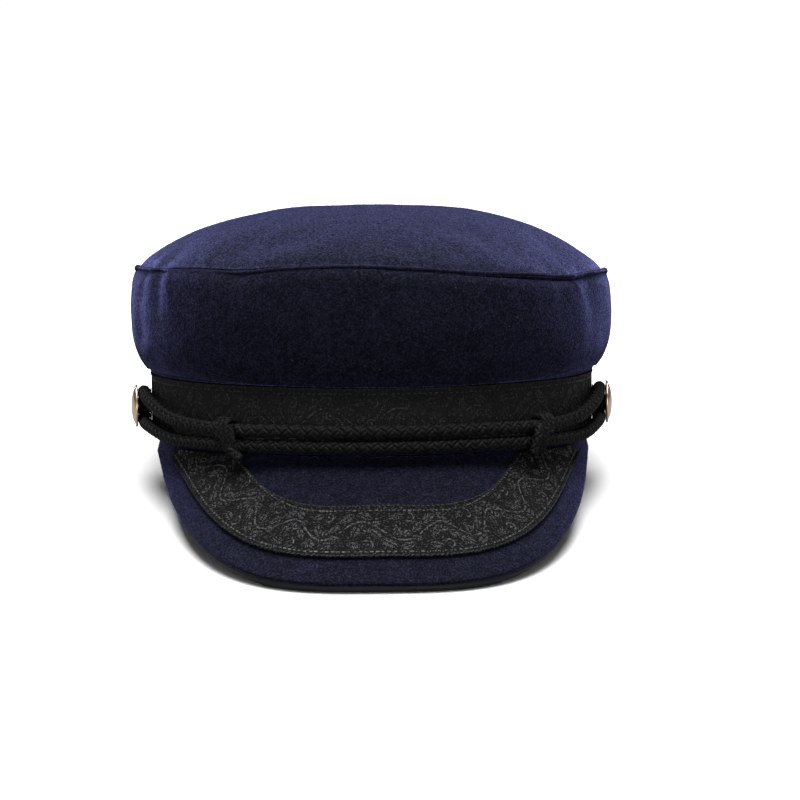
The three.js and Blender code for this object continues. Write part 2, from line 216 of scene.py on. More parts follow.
class Value:
    """A number, colour or vector of a shader that changes over the surface."""

    def __init__(self, finish, socket):
        self.finish = finish
        self.socket = socket

    def maths(self, operation, *others):
        return self.finish.maths(operation, self, *others)

    def __rsub__(self, other):
        return self.finish.maths("SUBTRACT", other, self)

    def rise(self, low, high):
        """0 below low and 1 above high, with a smooth step between. It falls if high is below low."""
        settings = {"interpolation_type": "SMOOTHSTEP"}
        if high < low:
            return 1 - self.rise(high, low)
        return self.finish.node("ShaderNodeMapRange", settings, {0: self, 1: low, 2: high})


SUMS = {
    "__add__": "ADD", "__radd__": "ADD", "__sub__": "SUBTRACT", "__mul__": "MULTIPLY",
    "__rmul__": "MULTIPLY", "__truediv__": "DIVIDE", "size": "ABSOLUTE", "floor": "FLOOR",
    "remainder": "FLOORED_MODULO", "sine": "SINE", "root": "SQRT", "larger": "MAXIMUM",
}
for method, operation in SUMS.items():
    setattr(Value, method, partialmethod(Value.maths, operation))


class Finish:
    """A material with a Principled shader. Constants go straight onto the shader's own sockets."""

    def __init__(self, name, constants):
        self.material = bpy.data.materials.new(name)
        self.material.use_nodes = True
        self.tree = self.material.node_tree
        self.shader = next(node for node in self.tree.nodes if node.type == "BSDF_PRINCIPLED")
        for socket, value in constants.items():
            self.shader.inputs[socket].default_value = value

    def feed(self, socket, value):
        if isinstance(value, Value):
            self.tree.links.new(value.socket, socket)
        else:
            socket.default_value = value

    def node(self, kind, settings=None, inputs=None, output=0):
        made = self.tree.nodes.new(kind)
        for setting, value in (settings or {}).items():
            setattr(made, setting, value)
        for socket, value in (inputs or {}).items():
            self.feed(made.inputs[socket], value)
        return Value(self, made.outputs[output])

    def maths(self, operation, *values):
        return self.node("ShaderNodeMath", {"operation": operation}, dict(enumerate(values)))

    def place(self):
        return self.node("ShaderNodeTexCoord", output="Object")

    def along_and_across(self, layer):
        """The two millimetre co-ordinates that a piece carries in its UV map."""
        both = self.node("ShaderNodeUVMap", {"uv_map": layer})
        split = self.node("ShaderNodeSeparateXYZ", inputs={0: both})
        return split, self.node("ShaderNodeSeparateXYZ", inputs={0: both}, output=1)

    def mottle(self, size, detail=2.0, stretch=None):
        """Soft noise from about 0 to 1, with spots of about this size in metres."""
        place = self.place()
        if stretch:
            place = self.node("ShaderNodeMapping", inputs={0: place, "Scale": stretch})
        inputs = {"Vector": place, "Scale": 1 / size, "Detail": detail}
        return self.node("ShaderNodeTexNoise", inputs=inputs)

    def blend(self, share, first, second):
        """The first colour where the share is 0, and the second one where it is 1."""
        inputs = {0: share, 6: first, 7: second}
        return self.node("ShaderNodeMix", {"data_type": "RGBA"}, inputs, output=2)

    def surface(self, colour=None, roughness=None, relief=None, depth=0.0):
        if colour is not None:
            self.feed(self.shader.inputs["Base Color"], colour)
        if roughness is not None:
            self.feed(self.shader.inputs["Roughness"], roughness)
        if relief is not None:
            inputs = {"Height": relief, "Distance": depth, "Strength": 1.0}
            self.feed(self.shader.inputs["Normal"], self.node("ShaderNodeBump", inputs=inputs))
        return self.material

    def laid_over(self, share, constants):
        """A second shader with the same relief, laid over the first where the share is high."""
        over = self.tree.nodes.new("ShaderNodeBsdfPrincipled")
        for socket, value in constants.items():
            over.inputs[socket].default_value = value
        for link in list(self.shader.inputs["Normal"].links):
            self.tree.links.new(link.from_socket, over.inputs["Normal"])
        both = self.tree.nodes.new("ShaderNodeMixShader")
        self.feed(both.inputs[0], share)
        self.tree.links.new(self.shader.outputs[0], both.inputs[1])
        self.tree.links.new(over.outputs[0], both.inputs[2])
        out = next(node for node in self.tree.nodes if node.type == "OUTPUT_MATERIAL")
        self.tree.links.new(both.outputs[0], out.inputs["Surface"])


print("shader helper:", len(SUMS), "sums")

# %% [markdown]
# Wool felt
# The cloth is a dense navy wool with a brushed face. Seen straight on it is nearly black. At a glancing
# angle its short nap catches the light, so the edges and the top look bluer and paler: that is the shader's
# sheen. The nap isn't even. Where it is pressed flat, a second shader without sheen is laid over it, which
# gives the face its grain. Fine paler specks and a soft mottle break up the colour further.

# %% Felt finish
FELT_DARK = (0.004, 0.0042, 0.0072, 1)
FELT_BLUE = (0.0165, 0.0172, 0.033, 1)
FELT_FIBRE = (0.05, 0.054, 0.09, 1)
SHEEN_TINT = (0.36, 0.38, 1.0, 1)
MATT = {"Roughness": 0.95, "Specular IOR Level": 0.02}
FELT_RELIEF = 0.22 * MM
PRESSED_SHARE = 0.85  # how much of the sheen is lost where the nap is pressed flat


def felt_finish(name, sheen):
    """Felt with mottles of four sizes: patches, clumps of fibre, the grain of the nap and pale specks."""
    fuzz = {"Sheen Weight": sheen, "Sheen Roughness": 0.37, "Sheen Tint": SHEEN_TINT}
    felt = Finish(name, {**MATT, **fuzz})
    patches = felt.mottle(8 * MM, 3)
    clumps = felt.mottle(2.4 * MM, 2)
    grain = felt.mottle(0.7 * MM, 3)
    specks = felt.mottle(0.6 * MM, 1)
    mix = patches.rise(0.3, 0.7) * 0.25 + clumps.rise(0.3, 0.7) * 0.25 + grain.rise(0.35, 0.65) * 0.5
    cloth = felt.blend(mix, FELT_DARK, FELT_BLUE)
    colour = felt.blend(specks.rise(0.68, 0.76) * 0.8, cloth, FELT_FIBRE)
    material = felt.surface(colour, relief=grain + clumps * 0.4, depth=FELT_RELIEF)
    pressed = 1 - (grain * 0.85 + clumps * 0.15).rise(0.34, 0.66)
    felt.laid_over(pressed * PRESSED_SHARE, {"Base Color": FELT_DARK, **MATT})
    return material


# The sides and the top are the same cloth. The top's copy has twice the sheen, so it shows paler than the
# sides: painted light, as from the light above.
navy_felt = felt_finish("navy_felt", 0.5)
lit_top_felt = felt_finish("lit_top_felt", 1.0)  # the top: the same cloth, with more sheen as painted light
print("felt finish:", len(navy_felt.node_tree.nodes), "nodes")

# %% [markdown]
# Modelling helpers
# An operator acts on all that is selected, and the frame's own pieces stay selected after loading. So a
# piece is always picked alone before anything is done to it.

# %% Picking, editing and finishing a piece
SAME_PLACE = 0.01 * MM
QUAD_ANGLE = math.radians(60)
SMOOTH_ANGLE = math.radians(50)


def pick(piece):
    bpy.ops.object.select_all(action="DESELECT")
    piece.select_set(True)
    bpy.context.view_layer.objects.active = piece


@contextmanager
def editing(piece):
    """Edit mode on one piece, with all of it selected at the start."""
    pick(piece)
    bpy.ops.object.mode_set(mode="EDIT")
    bpy.ops.mesh.select_all(action="SELECT")
    yield
    bpy.ops.object.mode_set(mode="OBJECT")


def apply_modifier(piece, kind, **settings):
    modifier = piece.modifiers.new(kind.lower(), kind)
    for setting, value in settings.items():
        setattr(modifier, setting, value)
    pick(piece)
    bpy.ops.object.modifier_apply(modifier=modifier.name)


def subdivided(piece, levels):
    apply_modifier(piece, "SUBSURF", levels=levels, render_levels=levels)


def copy_of_node(node, name):
    """A new piece that starts as the frame's solid: its loose triangles merged and paired into quads."""
    piece = bpy.data.objects.new(name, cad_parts[node].data.copy())
    bpy.context.scene.collection.objects.link(piece)
    piece.data.materials.clear()
    with editing(piece):
        bpy.ops.mesh.remove_doubles(threshold=SAME_PLACE)
        bpy.ops.mesh.tris_convert_to_quads(face_threshold=QUAD_ANGLE, shape_threshold=QUAD_ANGLE)
    return piece


def crease_rims(piece, share):
    """Keeps the wall's rims firm when the piece is subdivided. At 1 they stay sharp."""
    with editing(piece):
        bpy.ops.mesh.select_all(action="DESELECT")
        bpy.ops.mesh.select_mode(type="EDGE")
        bpy.ops.mesh.edges_select_sharp(sharpness=SMOOTH_ANGLE)
        bpy.ops.transform.edge_crease(value=share)
        bpy.ops.mesh.select_mode(type="VERT")


def points_of(piece):
    flat = np.empty(3 * len(piece.data.vertices))
    piece.data.vertices.foreach_get("co", flat)
    return flat.reshape(-1, 3)


def set_points(piece, points):
    piece.data.vertices.foreach_set("co", points.ravel())
    piece.data.update()


def hand_over(piece, material, slot, *nodes):
    """Gives a finished piece its material, its body and the solids that it stands for."""
    piece.data.materials.clear()
    piece.data.materials.append(material)
    pick(piece)
    bpy.ops.object.shade_smooth_by_angle(angle=SMOOTH_ANGLE)
    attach(piece, "root")
    if nodes:
        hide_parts(*nodes)
    triangles = sum(len(face.vertices) - 2 for face in piece.data.polygons)
    print(f"{piece.name}: {triangles} triangles")
    return piece


def mesh_piece(name, points, faces):
    mesh = bpy.data.meshes.new(name)
    mesh.from_pydata(np.asarray(points).tolist(), [], np.asarray(faces).tolist())
    piece = bpy.data.objects.new(name, mesh)
    bpy.context.scene.collection.objects.link(piece)
    return piece


def joined(name, lots):
    """One piece from several lots of points and faces."""
    points, faces, count = [], [], 0
    for lot_points, lot_faces in lots:
        points.append(lot_points)
        faces.append(lot_faces + count)
        count += len(lot_points)
    return mesh_piece(name, np.concatenate(points), np.concatenate(faces))


def skin(rings, corners, closed=False):
    """Triangles between rings of points that follow each other, and back to the first ring if closed."""
    corner = np.arange(corners)
    here = np.arange(rings if closed else rings - 1)[:, None] * corners
    after = (here + corners) % (rings * corners)
    low, high = here + corner, here + (corner + 1) % corners
    next_low, next_high = after + corner, after + (corner + 1) % corners
    faces = [np.stack([low, high, next_high], axis=-1), np.stack([low, next_high, next_low], axis=-1)]
    return np.concatenate(faces).reshape(-1, 3)


def tube(line, first, second, wide, thick, corners):
    """Points and faces of a closed tube along a line, with an oval section in two given directions."""
    turns = 2 * math.pi * np.arange(corners)[:, None] / corners
    section = np.cos(turns) * wide * first[:, None] + np.sin(turns) * thick * second[:, None]
    sides = (line[:, None] + section).reshape(-1, 3)
    corner = np.arange(corners)
    corner_after = (corner + 1) % corners
    last = len(sides) - corners
    start, end = np.full(corners, len(sides)), np.full(corners, len(sides) + 1)
    caps = [np.stack([start, corner_after, corner], axis=1),
            np.stack([end, last + corner, last + corner_after], axis=1)]
    points = np.concatenate([sides, line[:1], line[-1:]])
    return points, np.concatenate([skin(len(line), corners), *caps])


print("modelling helpers ready")


# %% [markdown]
# The crown
# Two side panels stand up from the band and an oval top is sewn onto them. Wool this thick never lies
# quite flat at a seam: it puckers a little where the stitches pull, and keeps soft dents where it was
# pressed. The solids give the panels' form. Here they are divided finely, and puckers and dents are pushed
# into them as a hand would, strongest at the seam and fading away from it.

# %% Where the top seam runs
panel_pieces = [copy_of_node("crown_front", "front_panel"), copy_of_node("crown_back", "back_panel")]
panel_points = np.concatenate([points_of(piece) for piece in panel_pieces])
panel_x, panel_y, panel_z = as_worn(panel_points)
panel_angle = angle_of(panel_x, panel_y)
SEAM_WAVES = np.arange(7)
RIM_STEP = 6  # the rim is read at every so many degrees
RIM_REACH = math.radians(4)
RIM_DEPTH = 0.3 * MM


def waves_at(angle):
    return np.cos(np.multiply.outer(angle, SEAM_WAVES))


rim_angles, rim_heights = [], []
for start in np.radians(np.arange(0, 360, RIM_STEP)):
    near = np.abs((panel_angle - start + math.pi) % (2 * math.pi) - math.pi) < RIM_REACH
    highest = near & (panel_z > panel_z[near].max() - RIM_DEPTH)
    rim_angles.append(panel_angle[highest].mean() if start > 0.1 else 0.0)
    rim_heights.append(panel_z[highest].max())
seam_waves = np.linalg.lstsq(waves_at(np.array(rim_angles)), np.array(rim_heights), rcond=None)[0]
print(f"top seam {min(rim_heights) / MM:.1f} to {max(rim_heights) / MM:.1f} mm above the band's foot")


def seam_at(angle):
    """The top seam's height at an angle. Left and right are alike, so cosines are enough."""
    return waves_at(angle) @ seam_waves


def turn_from(angle, degrees):
    """How far round from a place, in degrees, between -180 and 180."""
    return (np.degrees(angle) - degrees + 180) % 360 - 180


# %% Puckers and dents
random = np.random.default_rng(7)
PUCKER_DEPTH = 0.125 * MM
PUCKER_COUNTS = (11, 17, 26, 37, 52)  # waves round the whole seam, laid over one another
pucker_waves = [(count, random.uniform(0.4, 1), random.uniform(0, 2 * math.pi)) for count in PUCKER_COUNTS]


def puckers(angle):
    return PUCKER_DEPTH * sum(share * np.cos(count * angle + start) for count, share, start in pucker_waves)


# Creases that run down from the top seam: degrees from the front, width in degrees, length and depth in
# millimetres, and how far each leans towards the right for each millimetre down, in degrees
creases = [
    (47, 3.4, 12, 0.8, 0.2),
    (54, 1.3, 8, -0.7, 0.35),
    (60, 4.5, 26, 1.1, 0.1),
    (-62, 2.6, 17, 1.2, 0.1),
    (-56, 1.6, 14, -0.6, 0.1),
    (-71, 2.4, 26, 0.7, -0.15),
    (-34, 3.4, 6, 0.7, 0.2),
    (9, 5.0, 8, 0.35, 0.3),
    (110, 2.5, 14, 0.8, 0.2),
    (150, 3.0, 18, 0.8, -0.2),
    (205, 2.6, 12, 0.7, 0.2),
    (238, 2.4, 16, 0.8, -0.1),
]
# Soft dents lower on the sides: degrees from the front, millimetres below the seam, width in degrees,
# height and depth in millimetres
hollows = [
    (-72, 24, 5, 6, 1.1),
    (-66, 33, 4, 4, 0.8),
    (70, 24, 6, 9, 0.8),
    (34, 26, 9, 7, 0.5),
    (-28, 28, 8, 8, 0.5),
    (130, 22, 8, 9, 0.9),
    (188, 18, 9, 8, 0.9),
    (262, 20, 6, 8, 0.7),
]

# How far the top seam hangs below its even course, in millimetres, at degrees from the front
sag_turns = [-180, -90, -45, -33, -22, -8, 0, 10, 23, 38, 47, 53, 61, 70, 88, 115, 150, 180]
sags = [0.3, -0.4, 0.1, 1.0, -0.1, -0.2, 0.2, 1.0, 1.9, 2.0, 2.6, 3.3, 2.3, 1.9, 2.3, 1.2, 0.4, 0.3]
SAG_SHIFTS = (-4, -2, 0, 2, 4)  # the mean over these few degrees rounds off the list's corners
print(f"{len(creases)} creases, {len(hollows)} soft dents, a seam that sags up to {max(sags)} mm")


def seam_sag(angle):
    turn = turn_from(angle, 0)
    sag = sum(np.interp(turn + shift, sag_turns, sags) for shift in SAG_SHIFTS) / len(SAG_SHIFTS)
    return sag * MM


def fading(distance, reach):
    """1 at a distance of 0, and ever less away from it."""
    return np.exp(-distance / reach)


def bell(offset, width):
    """1 at an offset of 0, falling off to both sides over this width."""
    return np.exp(-(offset / width) ** 2)


def pushed_in(angle, below):
    """How far the sides are pushed in, at an angle and a depth below the seam."""
    total = np.zeros_like(angle)
    for at, wide, long, deep, lean in creases:
        beside = turn_from(angle, at) - lean * below / MM
        total += deep * MM * bell(beside, wide) * bell(below, long * MM)
    for at, down, wide, tall, deep in hollows:
        total += deep * MM * bell(turn_from(angle, at), wide) * bell(below / MM - down, tall)
    return total


def unevenness(points, size, seed):
    """Soft noise from about -1 to 1 at each place, with waves of about this size."""
    shift = Vector((seed, 2 * seed, 3 * seed))
    return np.array([noise.noise(Vector(point) / size + shift) for point in points])


# %% The two side panels
PUCKER_FADE = 8 * MM
NUB = 0.9 * MM  # how far the side seams' ends stand out at the top
NUB_WIDE = 2.2  # degrees
NUB_FADE = 2.5 * MM
EDGE_ROLL = 1.3 * MM  # how far the sides curve in to the seam
EDGE_ROLL_TALL = 6 * MM
OVERHANG = 3.0 * MM  # how far the front sags over the ribbon
OVERHANG_OUT = 0.7 * MM  # and bulges out there
OVERHANG_TALL = 16 * MM
FREE_ABOVE = 8 * MM  # the wool moves freely from this far above the ribbon
SIDE_SEAM = 83  # degrees from the front to each side seam


def sideways(angle, below):
    """How far the side stands out from its even form."""
    nub = sum(bell(turn_from(angle, side * SIDE_SEAM), NUB_WIDE) for side in (-1, 1))
    out = puckers(angle) * fading(below, PUCKER_FADE) - pushed_in(angle, below)
    out = out - EDGE_ROLL * np.clip(1 - below / EDGE_ROLL_TALL, 0, 1) ** 2
    return out + NUB * nub * fading(below, NUB_FADE)


def moved_out(x, y, angle, out):
    """Places moved square to the oval by these distances."""
    ahead = np.stack(oval(angle, 1.0), axis=-1) - np.stack(oval(angle), axis=-1)
    return x + ahead[..., 0] * out, y + ahead[..., 1] * out


for piece, node in zip(panel_pieces, ("crown_front", "crown_back")):
    crease_rims(piece, 0.3)
    subdivided(piece, 3)
    points = points_of(piece)
    x, y, z = as_worn(points)
    angle = angle_of(x, y)
    seam = seam_at(angle)
    above = z - RIBBON_TOP
    free = np.clip(above / FREE_ABOVE, 0, 1)
    out = sideways(angle, np.maximum(0, seam - z))
    out = out + 0.28 * MM * unevenness(points, 13 * MM, 1) + 0.08 * MM * unevenness(points, 5 * MM, 2)
    near_x, near_y = oval(angle)
    bulge = np.clip((np.hypot(x, y) - np.hypot(near_x, near_y) - 0.2 * MM) / (1.2 * MM), 0, 1)
    low = np.clip(1 - above / OVERHANG_TALL, 0, 1)
    ahead = np.clip(np.cos(angle), 0, 1) ** 2
    new_x, new_y = moved_out(x, y, angle, out * free + OVERHANG_OUT * bulge * low ** 2 * ahead)
    share = np.clip(above / (seam - RIBBON_TOP), 0, 1)
    drop = seam_sag(angle) * share + OVERHANG * bulge * low * ahead
    set_points(piece, at_rest(new_x, new_y, z - drop))
    hand_over(piece, navy_felt, "navy_felt", node)

# %% [markdown]
# The seams
# Top and sides are sewn together inside out, so their turned-in edges lie behind the seam and fill it. From
# outside the seam is a thin raised line, thicker where the side seams run into it. Rolls of felt stand for
# those edges: one that shows, and one behind it. The same kind of roll closes the joint of crown and
# headband from inside, and a strip lies behind each side seam.

# %% Seam rolls
WELT_RADIUS = 0.8 * MM
WELT_OUT = 5.25 * MM
ROLL_CORNERS = 8
ROLL_STEPS = 720
STRIP_WIDE = 2.2 * MM
STRIP_THICK = 0.8 * MM
STRIP_BEHIND = 0.25 * MM  # from the panels' face to the strip's
STRIP_STEP = 1.5 * MM
roll_turns = np.linspace(0, 2 * math.pi, ROLL_STEPS, endpoint=False)


def ring_roll(out, height, wide, tall):
    """Points and faces of a closed roll round the band, from one value or from one at each turn."""
    values = np.broadcast_arrays(roll_turns, out, height, wide, tall)
    turns, out, height, wide, tall = (value[:, None] for value in values)
    around = 2 * math.pi * np.arange(ROLL_CORNERS) / ROLL_CORNERS
    x, y = oval(turns, out + wide * np.cos(around))
    points = at_rest(x, y, height + tall * np.sin(around)).reshape(-1, 3)
    return points, skin(ROLL_STEPS, ROLL_CORNERS, closed=True)[:, ::-1]


def side_strip(side):
    """Points and faces of a strip behind a side seam, just under the panels' outer face."""
    seam_turn = math.radians(side * SIDE_SEAM)
    near = np.abs(turn_from(wall_angle, side * SIDE_SEAM)) < 3
    heights = np.arange(RIBBON_TOP + 1.6 * MM, seam_at(math.radians(SIDE_SEAM)) - 2 * MM, STRIP_STEP)
    levels = [near & (np.abs(wall_z - height) < STRIP_STEP) for height in heights]
    outs = [np.percentile(wall_out[level], 97) for level in levels]
    smooth_outs = np.polyval(np.polyfit(heights, outs, 5), heights)
    line = at_rest(*oval(seam_turn, smooth_outs - STRIP_THICK - STRIP_BEHIND), heights)
    outward = at_rest(*oval(seam_turn, 1.0), 0) - at_rest(*oval(seam_turn), 0)
    ways = [np.tile(way, (len(line), 1)) for way in (np.cross(upward, outward), outward)]
    return tube(line, *ways, STRIP_WIDE, STRIP_THICK, 10)


top_out = WELT_OUT + sideways(roll_turns, np.zeros_like(roll_turns))
top_height = seam_at(roll_turns) - seam_sag(roll_turns) + 0.35 * MM
thicker = sum(bell(turn_from(roll_turns, side * SIDE_SEAM), 1.8) for side in (-1, 1))
lumps = unevenness(at_rest(*oval(roll_turns, WELT_OUT), top_height), 2.2 * MM, 6)
radius = WELT_RADIUS * (1 + 0.9 * thicker + 0.12 * lumps)
hand_over(joined("top_seam", [ring_roll(top_out, top_height, radius, radius)]), navy_felt, "navy_felt")

wall_points = np.concatenate([points_of(piece) for piece in panel_pieces])
wall_x, wall_y, wall_z = as_worn(wall_points)
wall_angle = angle_of(wall_x, wall_y)
wall_out = np.hypot(wall_x, wall_y) - np.hypot(*oval(wall_angle))
inner_rolls = [
    ring_roll(top_out - 1.1 * MM, top_height - 0.9 * MM, 1.0 * MM, 1.3 * MM),
    ring_roll(-0.9 * MM, RIBBON_TOP + 1.7 * MM, 1.5 * MM, 1.5 * MM),
    side_strip(-1),
    side_strip(1),
]
hand_over(joined("inner_seams", inner_rolls), navy_felt, "navy_felt")

# %% [markdown]
# The oval top
# It is one flat piece of cloth that domes up over the head. Close to the seam it takes up the same puckers.
# Shallow dents lie where the cloth sinks towards the seam, and a fold runs all round just inside it.

# %% The oval top
# Dents in the top: millimetres across and to the back from the middle, reach both ways, and depth
top_dents = [
    (-32, -84, 11, 8, 1.3),
    (-52, -78, 8, 8, 1.3),
    (-76, -52, 7, 9, 1.4),
    (66, -44, 7, 13, 1.4),
    (40, -72, 16, 9, 0.9),
    (34, 50, 22, 15, 1.4),
    (-45, 40, 15, 24, 1.3),
    (5, -5, 26, 20, 0.7),
]
TOP_RIM_OUT = 5.7 * MM  # the oval top's rim, out from the ribbon's oval
SAG_REACH = 24 * MM  # how far in from the rim the seam's sag is felt
FOLD_IN = 2 * MM  # the fold just inside the seam
FOLD_WIDE = 1.5 * MM
FOLD_DEEP = 0.5 * MM
top = copy_of_node("crown_top", "oval_top")
crease_rims(top, 0.3)
subdivided(top, 3)
points = points_of(top)
x, y, z = as_worn(points)
angle = angle_of(x, y)
inward = np.maximum(0, np.hypot(*oval(angle, TOP_RIM_OUT)) - np.hypot(x, y))
away_from_rim = np.clip(inward / (5 * MM), 0, 1)
lift = puckers(angle + 0.03) * fading(inward, 10 * MM) * away_from_rim
for dent_x, dent_y, wide, long, deep in top_dents:
    dent = deep * MM * bell(x / MM - dent_x, wide) * bell(y / MM - dent_y, long)
    lift = lift - dent * away_from_rim
waves = 0.4 * MM * unevenness(points, 24 * MM, 3) + 0.1 * MM * unevenness(points, 6 * MM, 4)
lift = lift + waves * away_from_rim
lift = lift - seam_sag(angle) * bell(inward, SAG_REACH) - FOLD_DEEP * bell(inward - FOLD_IN, FOLD_WIDE)
new_x, new_y = moved_out(x, y, angle, sideways(angle, np.zeros_like(angle)) * fading(inward, 7 * MM))
set_points(top, at_rest(new_x, new_y, z + lift))
hand_over(top, lit_top_felt, "navy_felt", "crown_top")

# %% [markdown]
# The headband
# Under the ribbon the band is a plain strip of the same felt, sewn to the crown. It only shows from inside
# and as a thin line below the ribbon, so it keeps the solid's form with its rims rounded.

# %% Headband
headband = copy_of_node("headband", "felt_headband")
crease_rims(headband, 0.75)
subdivided(headband, 2)
hand_over(headband, navy_felt, "navy_felt", "headband")

# %% [markdown]
# The peak
# A stiff board is covered with felt above and a dark lining below. The two are trimmed together, so the
# lining shows as a thin grey line under the felt's edge.

# %% Peak cover and board
cover = copy_of_node("peak_cover", "felt_peak")
crease_rims(cover, 0.55)
subdivided(cover, 3)
points = points_of(cover)
x, y, z = as_worn(points)
set_points(cover, at_rest(x, y, z + 0.12 * MM * unevenness(points, 16 * MM, 5)))
hand_over(cover, navy_felt, "navy_felt", "peak_cover")


LINING_DARK = (0.012, 0.012, 0.0135, 1)
LINING_PALE = (0.026, 0.026, 0.029, 1)
lining = Finish("dark_lining", {"Roughness": 0.6, "Specular IOR Level": 0.4, "Sheen Weight": 0.1})
grain = lining.mottle(0.5 * MM, 2)
patches = lining.mottle(14 * MM, 2)
colour = lining.blend(grain * 0.6 + patches * 0.4, LINING_DARK, LINING_PALE)
dark_lining = lining.surface(colour, relief=grain, depth=0.15 * MM)
board = copy_of_node("peak_board", "lined_board")
crease_rims(board, 0.85)
subdivided(board, 2)
hand_over(board, dark_lining, "dark_lining", "peak_board")

# %% [markdown]
# Nap
# Brushed wool has a fuzz of loose fibre ends. From near they stand out along every edge, and a few pale
# bits of lint lie among them. Each fibre is one closed sliver of four triangles, set into the cloth at a
# seeded random place, so thousands of them stay a light mesh.

# %% Fibres
FIBRE_WIDTH = 0.09 * MM
SLIVER = np.array([[0, 2, 1], [0, 1, 3], [1, 2, 3], [2, 0, 3]])


def fibres(pieces, spacing, long, seed):
    """Points and faces of fibres that stand on pieces, one on each square of this spacing."""
    draws = np.random.default_rng(seed)
    lots = []
    for piece in pieces:
        mesh = piece.data
        mesh.calc_loop_triangles()
        corners = np.empty(3 * len(mesh.loop_triangles), int)
        mesh.loop_triangles.foreach_get("vertices", corners)
        triangles = points_of(piece)[corners.reshape(-1, 3)]
        square = np.cross(triangles[:, 1] - triangles[:, 0], triangles[:, 2] - triangles[:, 0])
        area = np.linalg.norm(square, axis=1) / 2
        count = int(area.sum() / spacing ** 2)
        chosen = draws.choice(len(area), count, p=area / area.sum())
        first, second = draws.random(count), draws.random(count)
        outside = first + second > 1
        first[outside], second[outside] = 1 - first[outside], 1 - second[outside]
        base, one, other = (triangles[chosen, corner] for corner in range(3))
        root = base + first[:, None] * (one - base) + second[:, None] * (other - base)
        normal = square[chosen] / (2 * area[chosen])[:, None]
        aside = unit(np.cross(normal, draws.normal(0, 1, (count, 3))))
        across = np.cross(normal, aside)
        lean = draws.uniform(0.5, 1.35, count)[:, None]
        direction = normal * np.cos(lean) + aside * np.sin(lean)
        length = draws.uniform(0.5, 1.0, count)[:, None] * long
        tip = root + direction * length
        foot = root - normal * 0.05 * MM
        beside, above = across * FIBRE_WIDTH / 2, normal * 1.4 * FIBRE_WIDTH / 2
        shape = np.stack([foot + beside, foot - beside, foot + above, tip], axis=1)
        left, up, far = (shape[:, corner] - shape[:, 0] for corner in (1, 2, 3))
        inside_out = np.einsum("ij,ij->i", np.cross(left, far), up) > 0
        flipped = np.where(inside_out[:, None, None], SLIVER[None, :, ::-1], SLIVER[None])
        offsets = 4 * np.arange(count)[:, None, None]
        lots.append((shape.reshape(-1, 3), (flipped + offsets).reshape(-1, 3)))
    return lots


def fibre_finish(name, low, high):
    fibre = Finish(name, {"Roughness": 0.8, "Specular IOR Level": 0.1, "Sheen Weight": 0.1})
    return fibre.surface(fibre.blend(fibre.mottle(4 * MM, 2), low, high))


nap_fibre = fibre_finish("nap_fibre", (0.008, 0.008, 0.018, 1), (0.024, 0.025, 0.056, 1))
pale_fibre = fibre_finish("pale_fibre", (0.06, 0.06, 0.08, 1), (0.16, 0.16, 0.18, 1))
NAP_SPACING = 1.9 * MM
crown_pieces = [*panel_pieces, top]
hand_over(joined("crown_nap", fibres(crown_pieces, NAP_SPACING, 0.9 * MM, 21)), nap_fibre, "navy_felt")
hand_over(joined("peak_nap", fibres([cover], NAP_SPACING, 0.8 * MM, 22)), nap_fibre, "navy_felt")
hand_over(joined("lint", fibres([*crown_pieces, cover], 12 * MM, 1.3 * MM, 23)), pale_fibre, "navy_felt")

# %% [markdown]
# The peak's ribbon
# The ribbon follows the peak's curved edge, and its pattern bends with it. To lay the pattern and the
# stitches, the peak's face is needed as a surface: u goes from one end to the other, and the distance runs
# out from the band. These are the same rails that the frame's peak is built on.

# %% The peak as a surface
PEAK_SPREAD = math.radians(78)
PEAK_REACH = 41 * MM
PEAK_DROP = 40.6 * MM
PEAK_END_DEPTH = 5 * MM
PEAK_SQUARENESS = 3.3
PEAK_TAPER = 0.18
PEAK_FAN = 0.45
PEAK_CROWN = 1.2 * MM
PEAK_ROOT = 2.2 * MM
ROOT_GAP = 0.3 * MM
FELT_INSIDE = 1.1 * MM
RIBBON_WIDTH = 23 * MM
RIBBON_INSET = 10.6 * MM
INSET_TAPER = 0.3


def peak_rails(u):
    """The peak's root and edge at u, in the band's axes."""
    fan = u * (PEAK_FAN + (1 - PEAK_FAN) * u * u)
    root_x, root_y = oval(fan * PEAK_SPREAD, -PEAK_ROOT)
    root = np.stack([root_x, root_y, np.full_like(root_x, -ROOT_GAP)], axis=-1)
    end_x, end_y = oval(PEAK_SPREAD, -FELT_INSIDE)
    sine, cosine = np.sin(u * math.pi / 2), np.maximum(0, np.cos(u * math.pi / 2))
    corner = (np.abs(sine) ** PEAK_SQUARENESS + cosine ** PEAK_SQUARENESS) ** (-1 / PEAK_SQUARENESS)
    ahead = cosine * corner
    edge_x = end_x * (1 - PEAK_TAPER * ahead) * sine * corner
    edge_y = end_y - (HALF_LENGTH + PEAK_REACH + end_y) * ahead
    edge_z = -PEAK_END_DEPTH - (PEAK_DROP - PEAK_END_DEPTH) * ahead
    return root, np.stack([edge_x, edge_y, edge_z], axis=-1)


def peak_depth(u):
    root, edge = peak_rails(u)
    return np.linalg.norm(edge - root, axis=-1)


def peak_flat(u, distance):
    """A place on the peak's face, in the band's axes."""
    root, edge = peak_rails(u)
    share = (distance / peak_depth(u))[..., None]
    place = root + (edge - root) * share
    place[..., 2] += (4 * PEAK_CROWN * share * (1 - share))[..., 0] * (1 - u * u)
    return place


def on_peak(u, distance, lift):
    """A place on or above the peak's face, in the frame's axes."""
    u, distance = np.broadcast_arrays(u, distance)
    step = 0.01
    along = peak_flat(np.minimum(1, u + step), distance) - peak_flat(np.maximum(-1, u - step), distance)
    outward = peak_flat(u, distance + MM) - peak_flat(u, distance - MM)
    place = peak_flat(u, distance) + lift * unit(np.cross(outward, along))
    return at_rest(*np.moveaxis(place, -1, 0))


